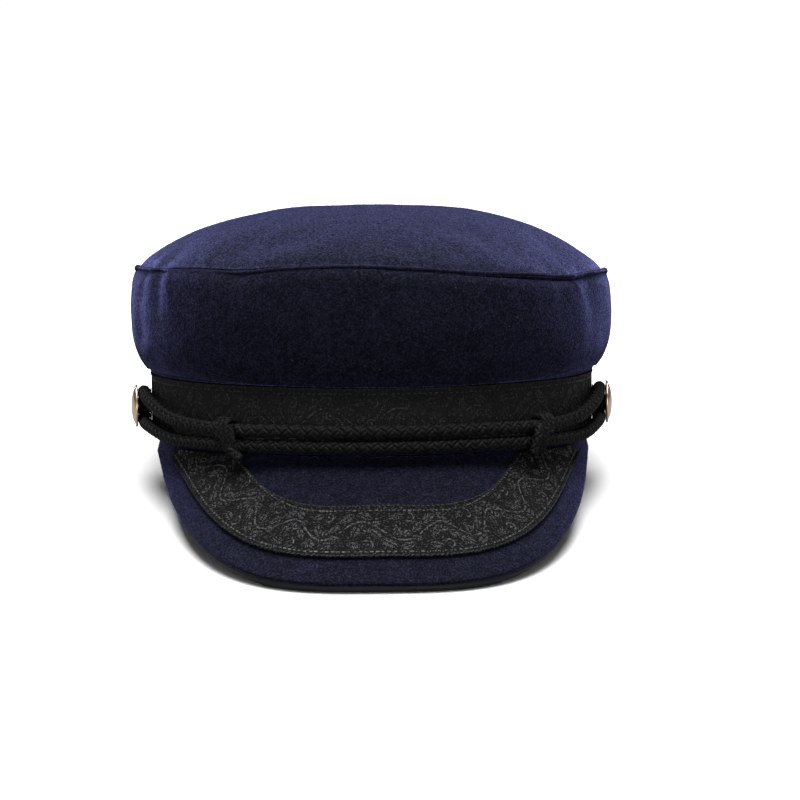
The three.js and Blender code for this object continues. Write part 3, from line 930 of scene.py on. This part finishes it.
def ribbon_outer(u):
    """The distance out to the ribbon's outer edge."""
    return peak_depth(u) - RIBBON_INSET * (1 - INSET_TAPER * u * u)


print(f"peak {float(peak_depth(np.zeros(1))[0]) / MM:.0f} mm deep in front")

# %% [markdown]
# Ribbon co-ordinates
# Both ribbons carry a UV map in millimetres, along and across the ribbon, so that the pattern keeps its
# size. On the band, a point's distance along is the oval's arc up to its angle. On the peak it is the arc
# of the ribbon's outer edge up to the nearest place on it, and the distance from there is how far across.

# %% Ribbon pieces
LAYER = "ribbon_mm"


def set_map(piece, along, across, wrap=None):
    """Writes a UV map from two values at each vertex. A face over the join of a ring is unwrapped."""
    mesh = piece.data
    layer = mesh.uv_layers.new(name=LAYER)
    corners = np.empty(len(mesh.loops), int)
    mesh.loops.foreach_get("vertex_index", corners)
    corner_along = along[corners].copy()
    if wrap:
        for face in mesh.polygons:
            loops = list(face.loop_indices)
            values = corner_along[loops]
            corner_along[loops] = np.where(values.max() - values > wrap / 2, values + wrap, values)
    layer.data.foreach_set("uv", np.stack([corner_along, across[corners]], axis=1).ravel() / MM)
    mesh.uv_layers.active = layer


RIBBON_FOOT = RIBBON_TOP - RIBBON_WIDTH
band_tape = copy_of_node("band_ribbon", "band_tape")
crease_rims(band_tape, 0.8)
subdivided(band_tape, 3)
x, y, z = as_worn(points_of(band_tape))
set_map(band_tape, np.interp(angle_of(x, y), fine_angles, fine_arc), z - RIBBON_FOOT, ROUND)

edge_us = np.linspace(-1, 1, 801)
edge_line = on_peak(edge_us, ribbon_outer(edge_us), 0.7 * MM)
edge_arc = arc_of(edge_line)
peak_tape = copy_of_node("peak_ribbon", "peak_tape")
crease_rims(peak_tape, 0.8)
subdivided(peak_tape, 3)
tape_points = points_of(peak_tape)
nearest = np.array([np.linalg.norm(edge_line - point, axis=1).argmin() for point in tape_points])
set_map(peak_tape, edge_arc[nearest], np.linalg.norm(edge_line[nearest] - tape_points, axis=1))
print(f"band ribbon {ROUND / MM:.0f} mm, peak ribbon {edge_arc[-1] / MM:.0f} mm")

# %% [markdown]
# Jacquard
# The ribbon is woven black on black: a matt ground, with leaves and scrolls in a satin thread that catches
# the light. The sprig is a traditional one. A stem waves along the ribbon, and each half wave is the last
# one mirrored, with hatched leaves and two curls, each round a berry. Thread that lies on top is glossy, so
# it is a second shader laid over the first. Its pale colour is a painted highlight on the black thread, and
# random pale specks over the ribbon are painted glints. The pattern is worn here and there, as on a real
# ribbon.

# %% Jacquard finish
HALF_REPEAT = 15.0  # millimetres of ribbon for each mirrored half of the sprig
STEM_SWING = 4.2
HATCH = 0.9  # millimetres from one vein of a leaf to the next
WEFT = 0.42  # and from thread to thread, up and along the ribbon
WARP = 0.5
WIDTH_MM = RIBBON_WIDTH / MM

# Leaves of one half: their middle along and across from the ribbon's middle, the way they point in
# degrees, and their length and width in millimetres
leaves = [
    (2.2, 5.6, 34, 7.6, 3.5),
    (8.8, 6.6, -24, 6.8, 3.2),
    (5.2, 0.0, 66, 6.6, 3.1),
    (12.4, -1.6, -52, 7.0, 3.0),
    (12.2, 3.2, 14, 5.2, 2.4),
    (4.6, -6.4, -14, 6.2, 2.9),
]
# Curls: their middle, their radius and the way that their open side points
curls = [
    (9.4, -6.2, 1.9, 200),
    (9.0, 1.4, 1.5, 60),
]


def jacquard_finish(name, pale, ground, gloss):
    tape = Finish(name, {"Specular IOR Level": 0.12, "Roughness": 0.8, "Base Color": ground})
    along, across = tape.along_and_across(LAYER)
    middle = across - WIDTH_MM / 2

    def from_place(place_along, place_across):
        """Distances from one place of the sprig in each mirrored half."""
        beside = along - place_along
        turn = (beside / HALF_REPEAT + 0.5).floor()
        mirrored = 1 - turn.remainder(2.0) * 2
        return beside - turn * HALF_REPEAT, middle * mirrored - place_across

    insides, veins = [], []
    for leaf_along, leaf_across, points, long, wide in leaves:
        beside, above = from_place(leaf_along, leaf_across)
        turn = math.radians(points)
        cosine, sine = math.cos(turn), math.sin(turn)
        length = beside * cosine + above * sine
        width = (above * cosine - beside * sine).size()
        share = length / (long / 2)
        rim = (1 - share * share) * (wide / 2)
        hatch = ((length - width * HATCH).remainder(HATCH) - HATCH / 2).size().rise(0.14, 0.26)
        insides.append((rim - width).rise(-0.05, 0.15))
        veins.append(insides[-1] * width.rise(0.12, 0.3) * hatch)
    leaf_total = reduce(Value.larger, insides)

    stem_line = (middle - (along * (math.pi / HALF_REPEAT)).sine() * STEM_SWING).size()
    sprig = reduce(Value.larger, veins).larger(stem_line.rise(0.5, 0.25) * (1 - leaf_total))
    for curl_along, curl_across, radius, opening in curls:
        beside, above = from_place(curl_along, curl_across)
        far = (beside * beside + above * above).root()
        turn = math.radians(opening)
        closed = (beside * math.cos(turn) + above * math.sin(turn)).rise(0.9, 0.3)
        line = (far - radius).size().rise(0.4, 0.2) * closed
        sprig = sprig.larger(line.larger(far.rise(0.6, 0.35)) * (1 - leaf_total))

    from_edge = WIDTH_MM / 2 - middle.size()
    dash = (along.remainder(2.0) - 1.0).size().rise(0.8, 0.6)
    border = (from_edge - 2.2).size().rise(0.38, 0.22) * dash
    raised = (sprig * from_edge.rise(2.5, 2.9)).larger(border)

    weft = (across * (2 * math.pi / WEFT)).sine() * 0.5 + 0.5
    warp = (along * (2 * math.pi / WARP)).sine() * 0.5 + 0.5
    broken = tape.mottle(0.9 * MM, 2).rise(0.42, 0.54)
    # Random pale, glossy specks of thread, also off the pattern: painted glints
    painted_glints = tape.mottle(0.75 * MM, 1, (1, 1.6, 0.6)).rise(0.56, 0.66)
    thread = (raised * broken).larger(painted_glints * 0.45) * (0.6 + 0.4 * weft)
    relief = raised * broken * 1.6 + weft * 0.35 + warp * 0.25 * (1 - raised) + painted_glints * 0.8
    material = tape.surface(relief=relief, depth=0.5 * MM)
    # The satin's pale colour is a painted highlight: the thread is black, and only its gloss is real
    tape.laid_over(thread, {"Base Color": pale, "Roughness": 0.34, "Specular IOR Level": gloss})
    return material


# Two copies of one ribbon. The peak's, in the light, has paler and glossier satin: painted highlight. The
# band's, in shade, has a paler ground: painted light that lifts its shade.
BAND_GROUND_LIFTED, BAND_SATIN_HIGHLIGHT = (0.018, 0.018, 0.019, 1), (0.07, 0.07, 0.073, 1)
PEAK_GROUND, PEAK_SATIN_HIGHLIGHT = (0.0045, 0.0045, 0.0048, 1), (0.15, 0.15, 0.158, 1)
shaded_band_jacquard = jacquard_finish("shaded_band_jacquard", BAND_SATIN_HIGHLIGHT, BAND_GROUND_LIFTED, 0.4)
lit_peak_jacquard = jacquard_finish("lit_peak_jacquard", PEAK_SATIN_HIGHLIGHT, PEAK_GROUND, 1.0)
print("jacquard finish:", len(lit_peak_jacquard.node_tree.nodes), "nodes")
hand_over(band_tape, shaded_band_jacquard, "black_ribbon", "band_ribbon")
hand_over(peak_tape, lit_peak_jacquard, "black_ribbon", "peak_ribbon")

# %% [markdown]
# Stitches
# Both ribbons are sewn on along their edges, and the short slanting stitches stand up as a dotted line. One
# stitch is a small bead, longer than it is wide. It is made once as points and faces and set down again and
# again along a line, so that all rows of a ribbon are one light mesh.

# %% Rows of stitches
BEAD_ROUND = 5
BEAD_ALONG = 3
STITCH_SPACING = 1.75 * MM
STITCH_LONG = 1.5 * MM
STITCH_WIDE = 0.62 * MM
STITCH_THICK = 0.7 * STITCH_WIDE
STITCH_SLANT = 24
STITCH_IN = 0.45 * MM  # from a ribbon's edge to the row
STITCH_LIFT = 0.06 * MM
TAPE_FACE = 1.1 * MM  # the peak ribbon's outer face above the felt


def bead():
    """One closed bead along x, a millimetre long and wide."""
    points = [(-0.5, 0, 0)]
    for ring in range(BEAD_ALONG):
        lean = math.pi * (ring + 1) / (BEAD_ALONG + 1)
        for side in range(BEAD_ROUND):
            turn = 2 * math.pi * side / BEAD_ROUND
            points.append((-0.5 * math.cos(lean), 0.5 * math.sin(lean) * math.cos(turn),
                           0.5 * math.sin(lean) * math.sin(turn)))
    points.append((0.5, 0, 0))
    faces = []
    last = len(points) - 1
    for side in range(BEAD_ROUND):
        after = (side + 1) % BEAD_ROUND
        faces.append((0, 1 + after, 1 + side))
        for ring in range(BEAD_ALONG - 1):
            low = 1 + ring * BEAD_ROUND
            high = low + BEAD_ROUND
            faces.append((low + side, low + after, high + after))
            faces.append((low + side, high + after, high + side))
        faces.append((last, last - BEAD_ROUND + side, last - BEAD_ROUND + after))
    return np.array(points), np.array(faces)


def evenly(line, spacing):
    """Places along a line at a spacing, with the directions there."""
    arc = arc_of(line)
    count = int(arc[-1] / spacing)
    wanted = (np.arange(count) + 0.5) * arc[-1] / count
    ahead, behind = at_arc(line, arc, wanted + 0.2 * MM), at_arc(line, arc, wanted - 0.2 * MM)
    return at_arc(line, arc, wanted), unit(ahead - behind), wanted / arc[-1]


def stitch_row(line, face, slant, seed):
    """Points and faces of a row of stitches along a line, lying on a face with these normals."""
    places, along, share = evenly(line, STITCH_SPACING)
    draws = np.random.default_rng(seed)
    up = unit(at_arc(face, np.linspace(0, 1, len(face)), share))
    across = np.cross(up, along)
    turn = math.radians(slant) + draws.normal(0, 0.1, len(places))
    first = along * np.cos(turn)[:, None] + across * np.sin(turn)[:, None]
    second = np.cross(up, first)
    size = draws.normal(1, 0.08, len(places))[:, None, None]
    points, faces = bead()
    long, wide, thick = (points * (STITCH_LONG, STITCH_WIDE, STITCH_THICK)).T[..., None]
    shape = long * first[:, None] + wide * second[:, None] + thick * up[:, None]
    shape = places[:, None] + shape * size
    offsets = np.arange(len(places))[:, None, None] * len(points)
    return shape.reshape(-1, 3), (faces[None] + offsets).reshape(-1, 3)


def thread_finish(name, low, high, roughness):
    thread = Finish(name, {"Specular IOR Level": 0.14})
    uneven = thread.mottle(1.2 * MM, 2)
    fine = thread.mottle(0.25 * MM, 2)
    colour = thread.blend(uneven.rise(0.3, 0.7), low, high)
    return thread.surface(colour, roughness + fine * 0.25, fine, 0.08 * MM)


sewing_thread = thread_finish("sewing_thread", (0.006, 0.006, 0.0063, 1), (0.03, 0.03, 0.032, 1), 0.35)


def band_row(height, slant, seed):
    ring = np.linspace(-ROUND / 2, ROUND / 2, 1441)
    outward = on_band(ring, 0, MM) - on_band(ring, 0, 0)
    return stitch_row(on_band(ring, height, STITCH_LIFT), outward, slant, seed)


def peak_row(us, edge, inset, slant, seed):
    """A row near one edge of the peak's ribbon, set in from it."""
    outward = on_peak(us, edge, 2 * MM) - on_peak(us, edge, MM)
    return stitch_row(on_peak(us, edge + inset, TAPE_FACE + STITCH_LIFT), outward, slant, seed)


band_rows = [
    band_row(RIBBON_TOP - STITCH_IN, -STITCH_SLANT, 11),
    band_row(RIBBON_FOOT + STITCH_IN, STITCH_SLANT, 12),
]
hand_over(joined("band_stitches", band_rows), sewing_thread, "black_ribbon")

outer_us = np.linspace(-0.9, 0.9, 721)
inner_us = outer_us[ribbon_outer(outer_us) - RIBBON_WIDTH > PEAK_ROOT + 1.5 * MM]
peak_rows = [
    peak_row(outer_us, ribbon_outer(outer_us), -STITCH_IN, STITCH_SLANT, 13),
    peak_row(inner_us, ribbon_outer(inner_us) - RIBBON_WIDTH, STITCH_IN, -STITCH_SLANT, 14),
]
hand_over(joined("peak_stitches", peak_rows), sewing_thread, "black_ribbon")

# %% [markdown]
# The cords' route
# The cord is held by the two buttons and lies doubled in front. Its route is the frame's own: places along
# the band, their height, and their lift off the ribbon, joined by a smooth curve. Each of the two cords
# starts in one knot, crosses the front, goes round the far button and ends in the far knot.

# %% Cord route
CORD = 4.8 * MM
CORD_CLEAR = 0.5 * MM
GAP = 0.3 * MM
CORD_HEIGHT = 6 * MM
KNOT_ALONG = {-1: 54.5 * MM, 1: 61.5 * MM}  # the left knot's and the right one's
KNOT_HEIGHT = 5.8 * MM
KNOT_HOLD = 7 * MM
KNOT_WRAP = 1.6 * MM
KNOT_TURNS = 3.2
KNOT_LEAN = 0.3
KNOT_SQUARENESS = 2.6
BUTTON_ANGLE = math.radians(85)
BUTTON_HEIGHT = 11.5 * MM
WOUND_SHANK = 3.3 * MM  # the shank's radius with the thread round it
LOOP_TURN = 75  # degrees of the loop on each side of its far point

button_along = float(np.interp(BUTTON_ANGLE, fine_angles, fine_arc))
alongside = CORD / 2 + GAP
loop_radius = WOUND_SHANK + CORD / 2
on_ribbon = CORD / 2 + CORD_CLEAR
in_knot = on_ribbon + KNOT_WRAP + GAP
# Share of the way, height, half the distance of the two strands, and lift off the ribbon
to_knot = [(0, CORD_HEIGHT, alongside, 0), (0.35, CORD_HEIGHT, alongside, 0.2 * MM),
           (0.7, CORD_HEIGHT, alongside, 1 * MM)]
to_button = [(0.4, KNOT_HEIGHT + 0.6 * MM, alongside + 1 * MM, 1 * MM),
             (0.75, BUTTON_HEIGHT - 1.7 * MM, loop_radius - 0.9 * MM, 0)]


def strand(side, knot):
    """Places of the upper strand (side 1) or the lower one from the front to the button on one side."""
    rows = []
    for start, way, stretch in ((0, knot, to_knot), (knot, button_along - knot, to_button)):
        for share, up, apart, lift in stretch:
            rows.append((start + way * share, up + side * apart, on_ribbon + lift))
    held = [(knot + along, KNOT_HEIGHT + side * alongside, in_knot) for along in (-KNOT_HOLD, 0, KNOT_HOLD)]
    return rows[:len(to_knot)] + held + rows[len(to_knot):]


def button_loop():
    rows = []
    for turn in np.radians(np.linspace(LOOP_TURN, -LOOP_TURN, 6)):
        beside, above = loop_radius * math.cos(turn), loop_radius * math.sin(turn)
        rows.append((button_along + beside, BUTTON_HEIGHT + above, on_ribbon))
    return rows


def cord_route(side):
    """Places of the upper cord (side 1), which ends at the right, or of the lower one, at the left."""
    start = KNOT_ALONG[-side] - GAP / 2
    end = KNOT_ALONG[side] + GAP / 2
    first = [(-along, up, out) for along, up, out in strand(side, KNOT_ALONG[-side]) if 0 < along < start]
    there = strand(side, KNOT_ALONG[side])
    back = [row for row in strand(-side, KNOT_ALONG[side]) if row[0] > end + MM]
    loop = button_loop() if side > 0 else button_loop()[::-1]
    rows = [(-start, KNOT_HEIGHT + side * alongside, in_knot)] + first[::-1] + there + loop + back[::-1]
    rows.append((end, KNOT_HEIGHT - side * alongside, in_knot))
    return np.array([on_band(side * along, up, out) for along, up, out in rows])


def smooth_line(places, spacing):
    """A centripetal Catmull-Rom curve through the places, as points at an even spacing."""
    ends = [2 * places[0] - places[1], *places, 2 * places[-1] - places[-2]]
    line = []
    for p0, p1, p2, p3 in zip(ends, ends[1:], ends[2:], ends[3:]):
        t0 = 0
        t1 = t0 + np.linalg.norm(p1 - p0) ** 0.5
        t2 = t1 + np.linalg.norm(p2 - p1) ** 0.5
        t3 = t2 + np.linalg.norm(p3 - p2) ** 0.5
        for t in np.linspace(t1, t2, 24, endpoint=False):
            a1 = ((t1 - t) * p0 + (t - t0) * p1) / (t1 - t0)
            a2 = ((t2 - t) * p1 + (t - t1) * p2) / (t2 - t1)
            a3 = ((t3 - t) * p2 + (t - t2) * p3) / (t3 - t2)
            b1 = ((t2 - t) * a1 + (t - t0) * a2) / (t2 - t0)
            b2 = ((t3 - t) * a2 + (t - t1) * a3) / (t3 - t1)
            line.append(((t2 - t) * b1 + (t - t1) * b2) / (t2 - t1))
    line = np.array([*line, places[-1]])
    arc = arc_of(line)
    return at_arc(line, arc, np.linspace(0, arc[-1], int(arc[-1] / spacing) + 1))


print(f"buttons {button_along / MM:.0f} mm along the band from the front")

# %% [markdown]
# Braid
# The cord is a round braid: half of its strands wind to the right and half to the left, and each passes
# over two and under two. That gives the rows of small V shapes along it. Each strand is a flat tube on its
# own path, in and out about the cord's middle line, over a plain core that closes the braid inside.

# %% Braid


def directions(line):
    """Two directions square to a line at each point, carried along it without twist."""
    along = unit(np.gradient(line, axis=0))
    side = np.cross(along[0], upward + 0.3 * backward)
    sides = []
    for direction in along:
        side = unit(side - direction * (side @ direction))
        sides.append(side)
    return np.array(sides), np.cross(along, sides)


def braid(line, diameter, carriers, lay, strand_width, strand_thick, corners=6):
    """A braided cord along a line, as several tubes. Carriers wind each way, once round in each lay."""
    first, second = directions(line)
    wave = strand_thick * 0.48
    middle_radius = diameter / 2 - strand_thick / 2 - wave
    core_radius = middle_radius - 0.35 * strand_thick
    lots = [tube(line, first, second, core_radius, core_radius, 10)]
    phase = 2 * math.pi * arc_of(line) / lay
    for way in (1, -1):
        lift = way * wave * np.clip(1.5 * np.cos(carriers * phase / 2 - math.pi / 4), -1, 1)
        for carrier in range(carriers):
            turn = way * phase + 2 * math.pi * carrier / carriers
            outward = np.cos(turn)[:, None] * first + np.sin(turn)[:, None] * second
            path = line + outward * (middle_radius + lift)[:, None]
            ahead = unit(np.gradient(path, axis=0))
            side = unit(np.cross(outward, ahead))
            face = np.cross(ahead, side)
            lots.append(tube(path, side, face, strand_width / 2, strand_thick / 2, corners))
    return lots


cord_thread = thread_finish("black_cord", (0.0035, 0.0035, 0.0036, 1), (0.01, 0.01, 0.0103, 1), 0.5)
CARRIERS = 6
CORD_LAY = 14.4 * MM
STRAND_WIDTH = 1.34 * MM
STRAND_THICK = 0.86 * MM
STRAND_STEP = 0.6 * MM
for side, name, node in ((1, "upper_cord", "cord_upper"), (-1, "lower_cord", "cord_lower")):
    line = smooth_line(cord_route(side), STRAND_STEP)
    print(f"{name}: {arc_of(line)[-1] / MM:.0f} mm long")
    cord_piece = joined(name, braid(line, 1.04 * CORD, CARRIERS, CORD_LAY, STRAND_WIDTH, STRAND_THICK))
    hand_over(cord_piece, cord_thread, "black_cord", node)

# %% [markdown]
# The knots
# A sliding knot is three tight turns of a thinner braid round both cords. The turns lean, and the cut end
# of each knot hangs down a few millimetres over the peak.

# %% Knots
WRAP_BRAID = 2.35 * MM
WRAP_PITCH = 2.15 * MM
TAIL_BRAID = 3.4 * MM
KNOT_STEP = 0.4 * MM


def squarish(value):
    return np.sign(value) * np.abs(value) ** (2 / KNOT_SQUARENESS)


def knot_line(side):
    half_deep = CORD / 2 + GAP + KNOT_WRAP / 2 + 0.25 * MM
    half_tall = alongside + half_deep
    turns = np.linspace(0, KNOT_TURNS, 120)
    tall = squarish(np.sin(turns * 2 * math.pi))
    deep = squarish(np.cos(turns * 2 * math.pi))
    along = WRAP_PITCH * (turns - KNOT_TURNS / 2) - KNOT_LEAN * half_tall * tall
    along = side * (KNOT_ALONG[side] - along)
    places = on_band(along, KNOT_HEIGHT + half_tall * tall, in_knot + half_deep * deep)
    return smooth_line(places[::4], KNOT_STEP)


# The cut end of each knot: places from the knot's middle towards the front, up and out, in millimetres
tails = {
    1: [(2.6, 3.6, 3.4), (4.0, 1.2, 4.7), (4.9, -1.4, 5.0), (5.6, -4.0, 4.6), (6.1, -6.4, 4.2)],
    -1: [(1.2, -2.6, 3.4), (3.0, -4.6, 4.0), (4.8, -6.2, 4.0), (6.2, -7.4, 4.0)],
}


def tail_line(side):
    ahead, up, out = np.array(tails[side]).T * MM
    along = side * (KNOT_ALONG[side] - ahead)
    return smooth_line(on_band(along, KNOT_HEIGHT + up, in_knot + out), KNOT_STEP)


for side, name, node in ((-1, "left_knot", "knot_left"), (1, "right_knot", "knot_right")):
    lots = braid(knot_line(side), WRAP_BRAID, 4, 6 * MM, 0.95 * MM, 0.5 * MM, 5)
    lots += braid(tail_line(side), TAIL_BRAID, 4, 8.5 * MM, 1.25 * MM, 0.65 * MM, 6)
    hand_over(joined(name, lots), cord_thread, "black_cord", node)

# %% [markdown]
# The buttons
# Each button is a thin gilt disc on a short shank: a thin rounded rim, a small step down inside it, and a
# dome. It starts as a cylinder whose front face is inset again and again, and raised a little each time.

# %% Buttons
BUTTON_RADIUS = 8.3 * MM
BUTTON_RIM = 0.9 * MM  # the plate's thickness at its rim
PLATE_BACK = 5.35 * MM  # from the ribbon to the back of the plate, pressed lightly onto the cord
ROUNDING = 0.3 * MM
# How far in each ring of the front face lies from the last one, and how far out, in millimetres
RINGS = ((0.25, 0), (0.2, -0.25), (0.5, 0.4), (0.9, 0.5), (1.2, 0.42), (1.5, 0.3), (1.5, 0.16), (1.1, 0.04))

metal = Finish("gilt", {"Metallic": 1.0})
cloudy = metal.mottle(3.5 * MM, 2)
scratches = metal.mottle(0.3 * MM, 2, (1, 0.2, 1))
colour = metal.blend(cloudy, (0.72, 0.52, 0.34, 1), (0.9, 0.74, 0.56, 1))
gilt = metal.surface(colour, 0.22 + cloudy * 0.14 + scratches * 0.06, scratches, 0.02 * MM)


def select_level_face(piece, height):
    """Selects the faces of an upright piece that look up at a height, in edit mode."""
    bpy.ops.mesh.select_mode(type="FACE")
    bpy.ops.mesh.select_all(action="DESELECT")
    bpy.ops.object.mode_set(mode="OBJECT")
    for face in piece.data.polygons:
        face.select = face.normal.z > 0.9 and abs(face.center.z - height) < SAME_PLACE
    bpy.ops.object.mode_set(mode="EDIT")


def turned_disc(name, radius, low, high, corners, rounding, segments):
    """A disc with rounded rims, standing on the ribbon's face at the origin."""
    bpy.ops.object.select_all(action="DESELECT")
    bpy.ops.mesh.primitive_cylinder_add(vertices=corners, radius=radius, depth=high - low,
                                        location=(0, 0, (low + high) / 2))
    disc = bpy.context.object
    disc.name = name
    bpy.ops.object.transform_apply(location=True, rotation=True, scale=True)
    apply_modifier(disc, "BEVEL", width=rounding, segments=segments, limit_method="ANGLE",
                   angle_limit=math.radians(35))
    return disc


def make_button(name):
    top_face = PLATE_BACK + BUTTON_RIM
    piece = turned_disc(name, BUTTON_RADIUS, PLATE_BACK, top_face, 96, ROUNDING, 4)
    with editing(piece):
        select_level_face(piece, top_face)
        for inward, outward in RINGS:
            bpy.ops.mesh.inset(thickness=inward * MM, depth=outward * MM)
        bpy.ops.mesh.select_all(action="DESELECT")
    shank = turned_disc("shank", WOUND_SHANK - 0.7 * MM, GAP, PLATE_BACK + 0.5 * MM, 48, ROUNDING, 2)
    bpy.ops.object.select_all(action="DESELECT")
    shank.select_set(True)
    piece.select_set(True)
    bpy.context.view_layer.objects.active = piece
    bpy.ops.object.join()
    return piece


def seated(piece, side):
    """Turns an upright piece's mesh to stand on the ribbon at a button's place."""
    seat = on_band(side * button_along, BUTTON_HEIGHT, 0.0)
    outward = on_band(side * button_along, BUTTON_HEIGHT, MM) - seat
    turn = Vector(outward).to_track_quat("Z", "Y").to_matrix().to_4x4()
    turn.translation = Vector(seat)
    piece.data.transform(turn)
    return piece


for side, name, node in ((-1, "left_button", "button_left"), (1, "right_button", "button_right")):
    hand_over(seated(make_button(name), side), gilt, "gilt", node)

# %% [markdown]
# How the buttons are sewn on
# Heavy black thread goes through the band and is wound round the shank, and a small round of black felt
# lies under it, so no gilt and no daylight shows between the cords. The thread is one tight coil.

# %% Shank thread and pads
PAD_RADIUS = 6.8 * MM
COIL_THREAD = 0.75 * MM
COIL_RADIUS = WOUND_SHANK - COIL_THREAD / 2
COIL_TURNS = 7
PAD_THICK = 0.5 * MM

for side, name in ((-1, "left"), (1, "right")):
    turns = np.linspace(0, COIL_TURNS, COIL_TURNS * 24 + 1)
    climb = PAD_THICK + COIL_THREAD / 2 + (PLATE_BACK - PAD_THICK - 0.6 * COIL_THREAD) * turns / COIL_TURNS
    outward = np.stack([np.cos(2 * math.pi * turns), np.sin(2 * math.pi * turns), 0 * turns], axis=1)
    straight_up = np.tile([0.0, 0.0, 1.0], (len(turns), 1))
    coil_line = COIL_RADIUS * outward + climb[:, None] * straight_up
    thread = tube(coil_line, outward, straight_up, COIL_THREAD / 2, COIL_THREAD / 2, 6)
    coil = joined(f"{name}_shank_thread", [thread])
    hand_over(seated(coil, side), cord_thread, "black_cord")
    pad = turned_disc(f"{name}_pad", PAD_RADIUS, 0.05 * MM, PAD_THICK, 64, 0.2 * MM, 3)
    hand_over(seated(pad, side), cord_thread, "black_cord")

# %% [markdown]
# The table
# A plain white table in a white room, so bright that only the soft shadow at the cap's foot shows. To the
# camera both look white, but they send little light back onto the cap, so that its dark felt stays dark.

# %% Table and background
TABLE_DROP = 0.05 * MM  # the table's face lies this far under the cap
TABLE_RADIUS = 0.95
PLAIN = {"Roughness": 0.9, "Specular IOR Level": 0.1}
ROOM_LIGHT = 0.045
ROOM_SEEN = 1.05

bpy.ops.object.select_all(action="DESELECT")
bpy.ops.mesh.primitive_circle_add(vertices=128, radius=TABLE_RADIUS, fill_type="NGON",
                                  location=(0, 0, -TABLE_DROP))
table = bpy.context.object
table.name = "table"
white = Finish("white_table", {"Base Color": (0.22, 0.22, 0.22, 1), **PLAIN})
straight = white.node("ShaderNodeLightPath", output="Is Camera Ray")
white.laid_over(straight, {"Base Color": (0.9, 0.9, 0.9, 1), **PLAIN})
table.data.materials.append(white.material)
table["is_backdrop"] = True
print(f"table: a disc of {2 * TABLE_RADIUS} m, {TABLE_DROP / MM} mm under the cap")

world = bpy.data.worlds.new("white_room")
bpy.context.scene.world = world
world.use_nodes = True
nodes, link = world.node_tree.nodes, world.node_tree.links.new
seen, dim = nodes["Background"], nodes.new("ShaderNodeBackground")
for light, colour, strength in ((seen, (1, 1, 1, 1), ROOM_SEEN), (dim, (0.96, 0.98, 1, 1), ROOM_LIGHT)):
    light.inputs["Color"].default_value = colour
    light.inputs["Strength"].default_value = strength
either = nodes.new("ShaderNodeMixShader")
link(nodes.new("ShaderNodeLightPath").outputs["Is Camera Ray"], either.inputs[0])
link(dim.outputs[0], either.inputs[1])
link(seen.outputs[0], either.inputs[2])
link(either.outputs[0], nodes["World Output"].inputs["Surface"])
print("room: white to the camera, dim to the cap")

# %% [markdown]
# Measure
# The dressed cap has to fill the same box as the frame, but for its nap. How far the box's lower and upper
# corners moved from the frame's is printed here, so that the two can be compared.

# %% Sizes, and the end
dressed_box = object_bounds()
for name, low, high in zip(("lower", "upper"), cad_box, dressed_box):
    print(f"{name} corner moved by", [round((b - a) / MM, 2) for a, b in zip(low, high)], "mm")
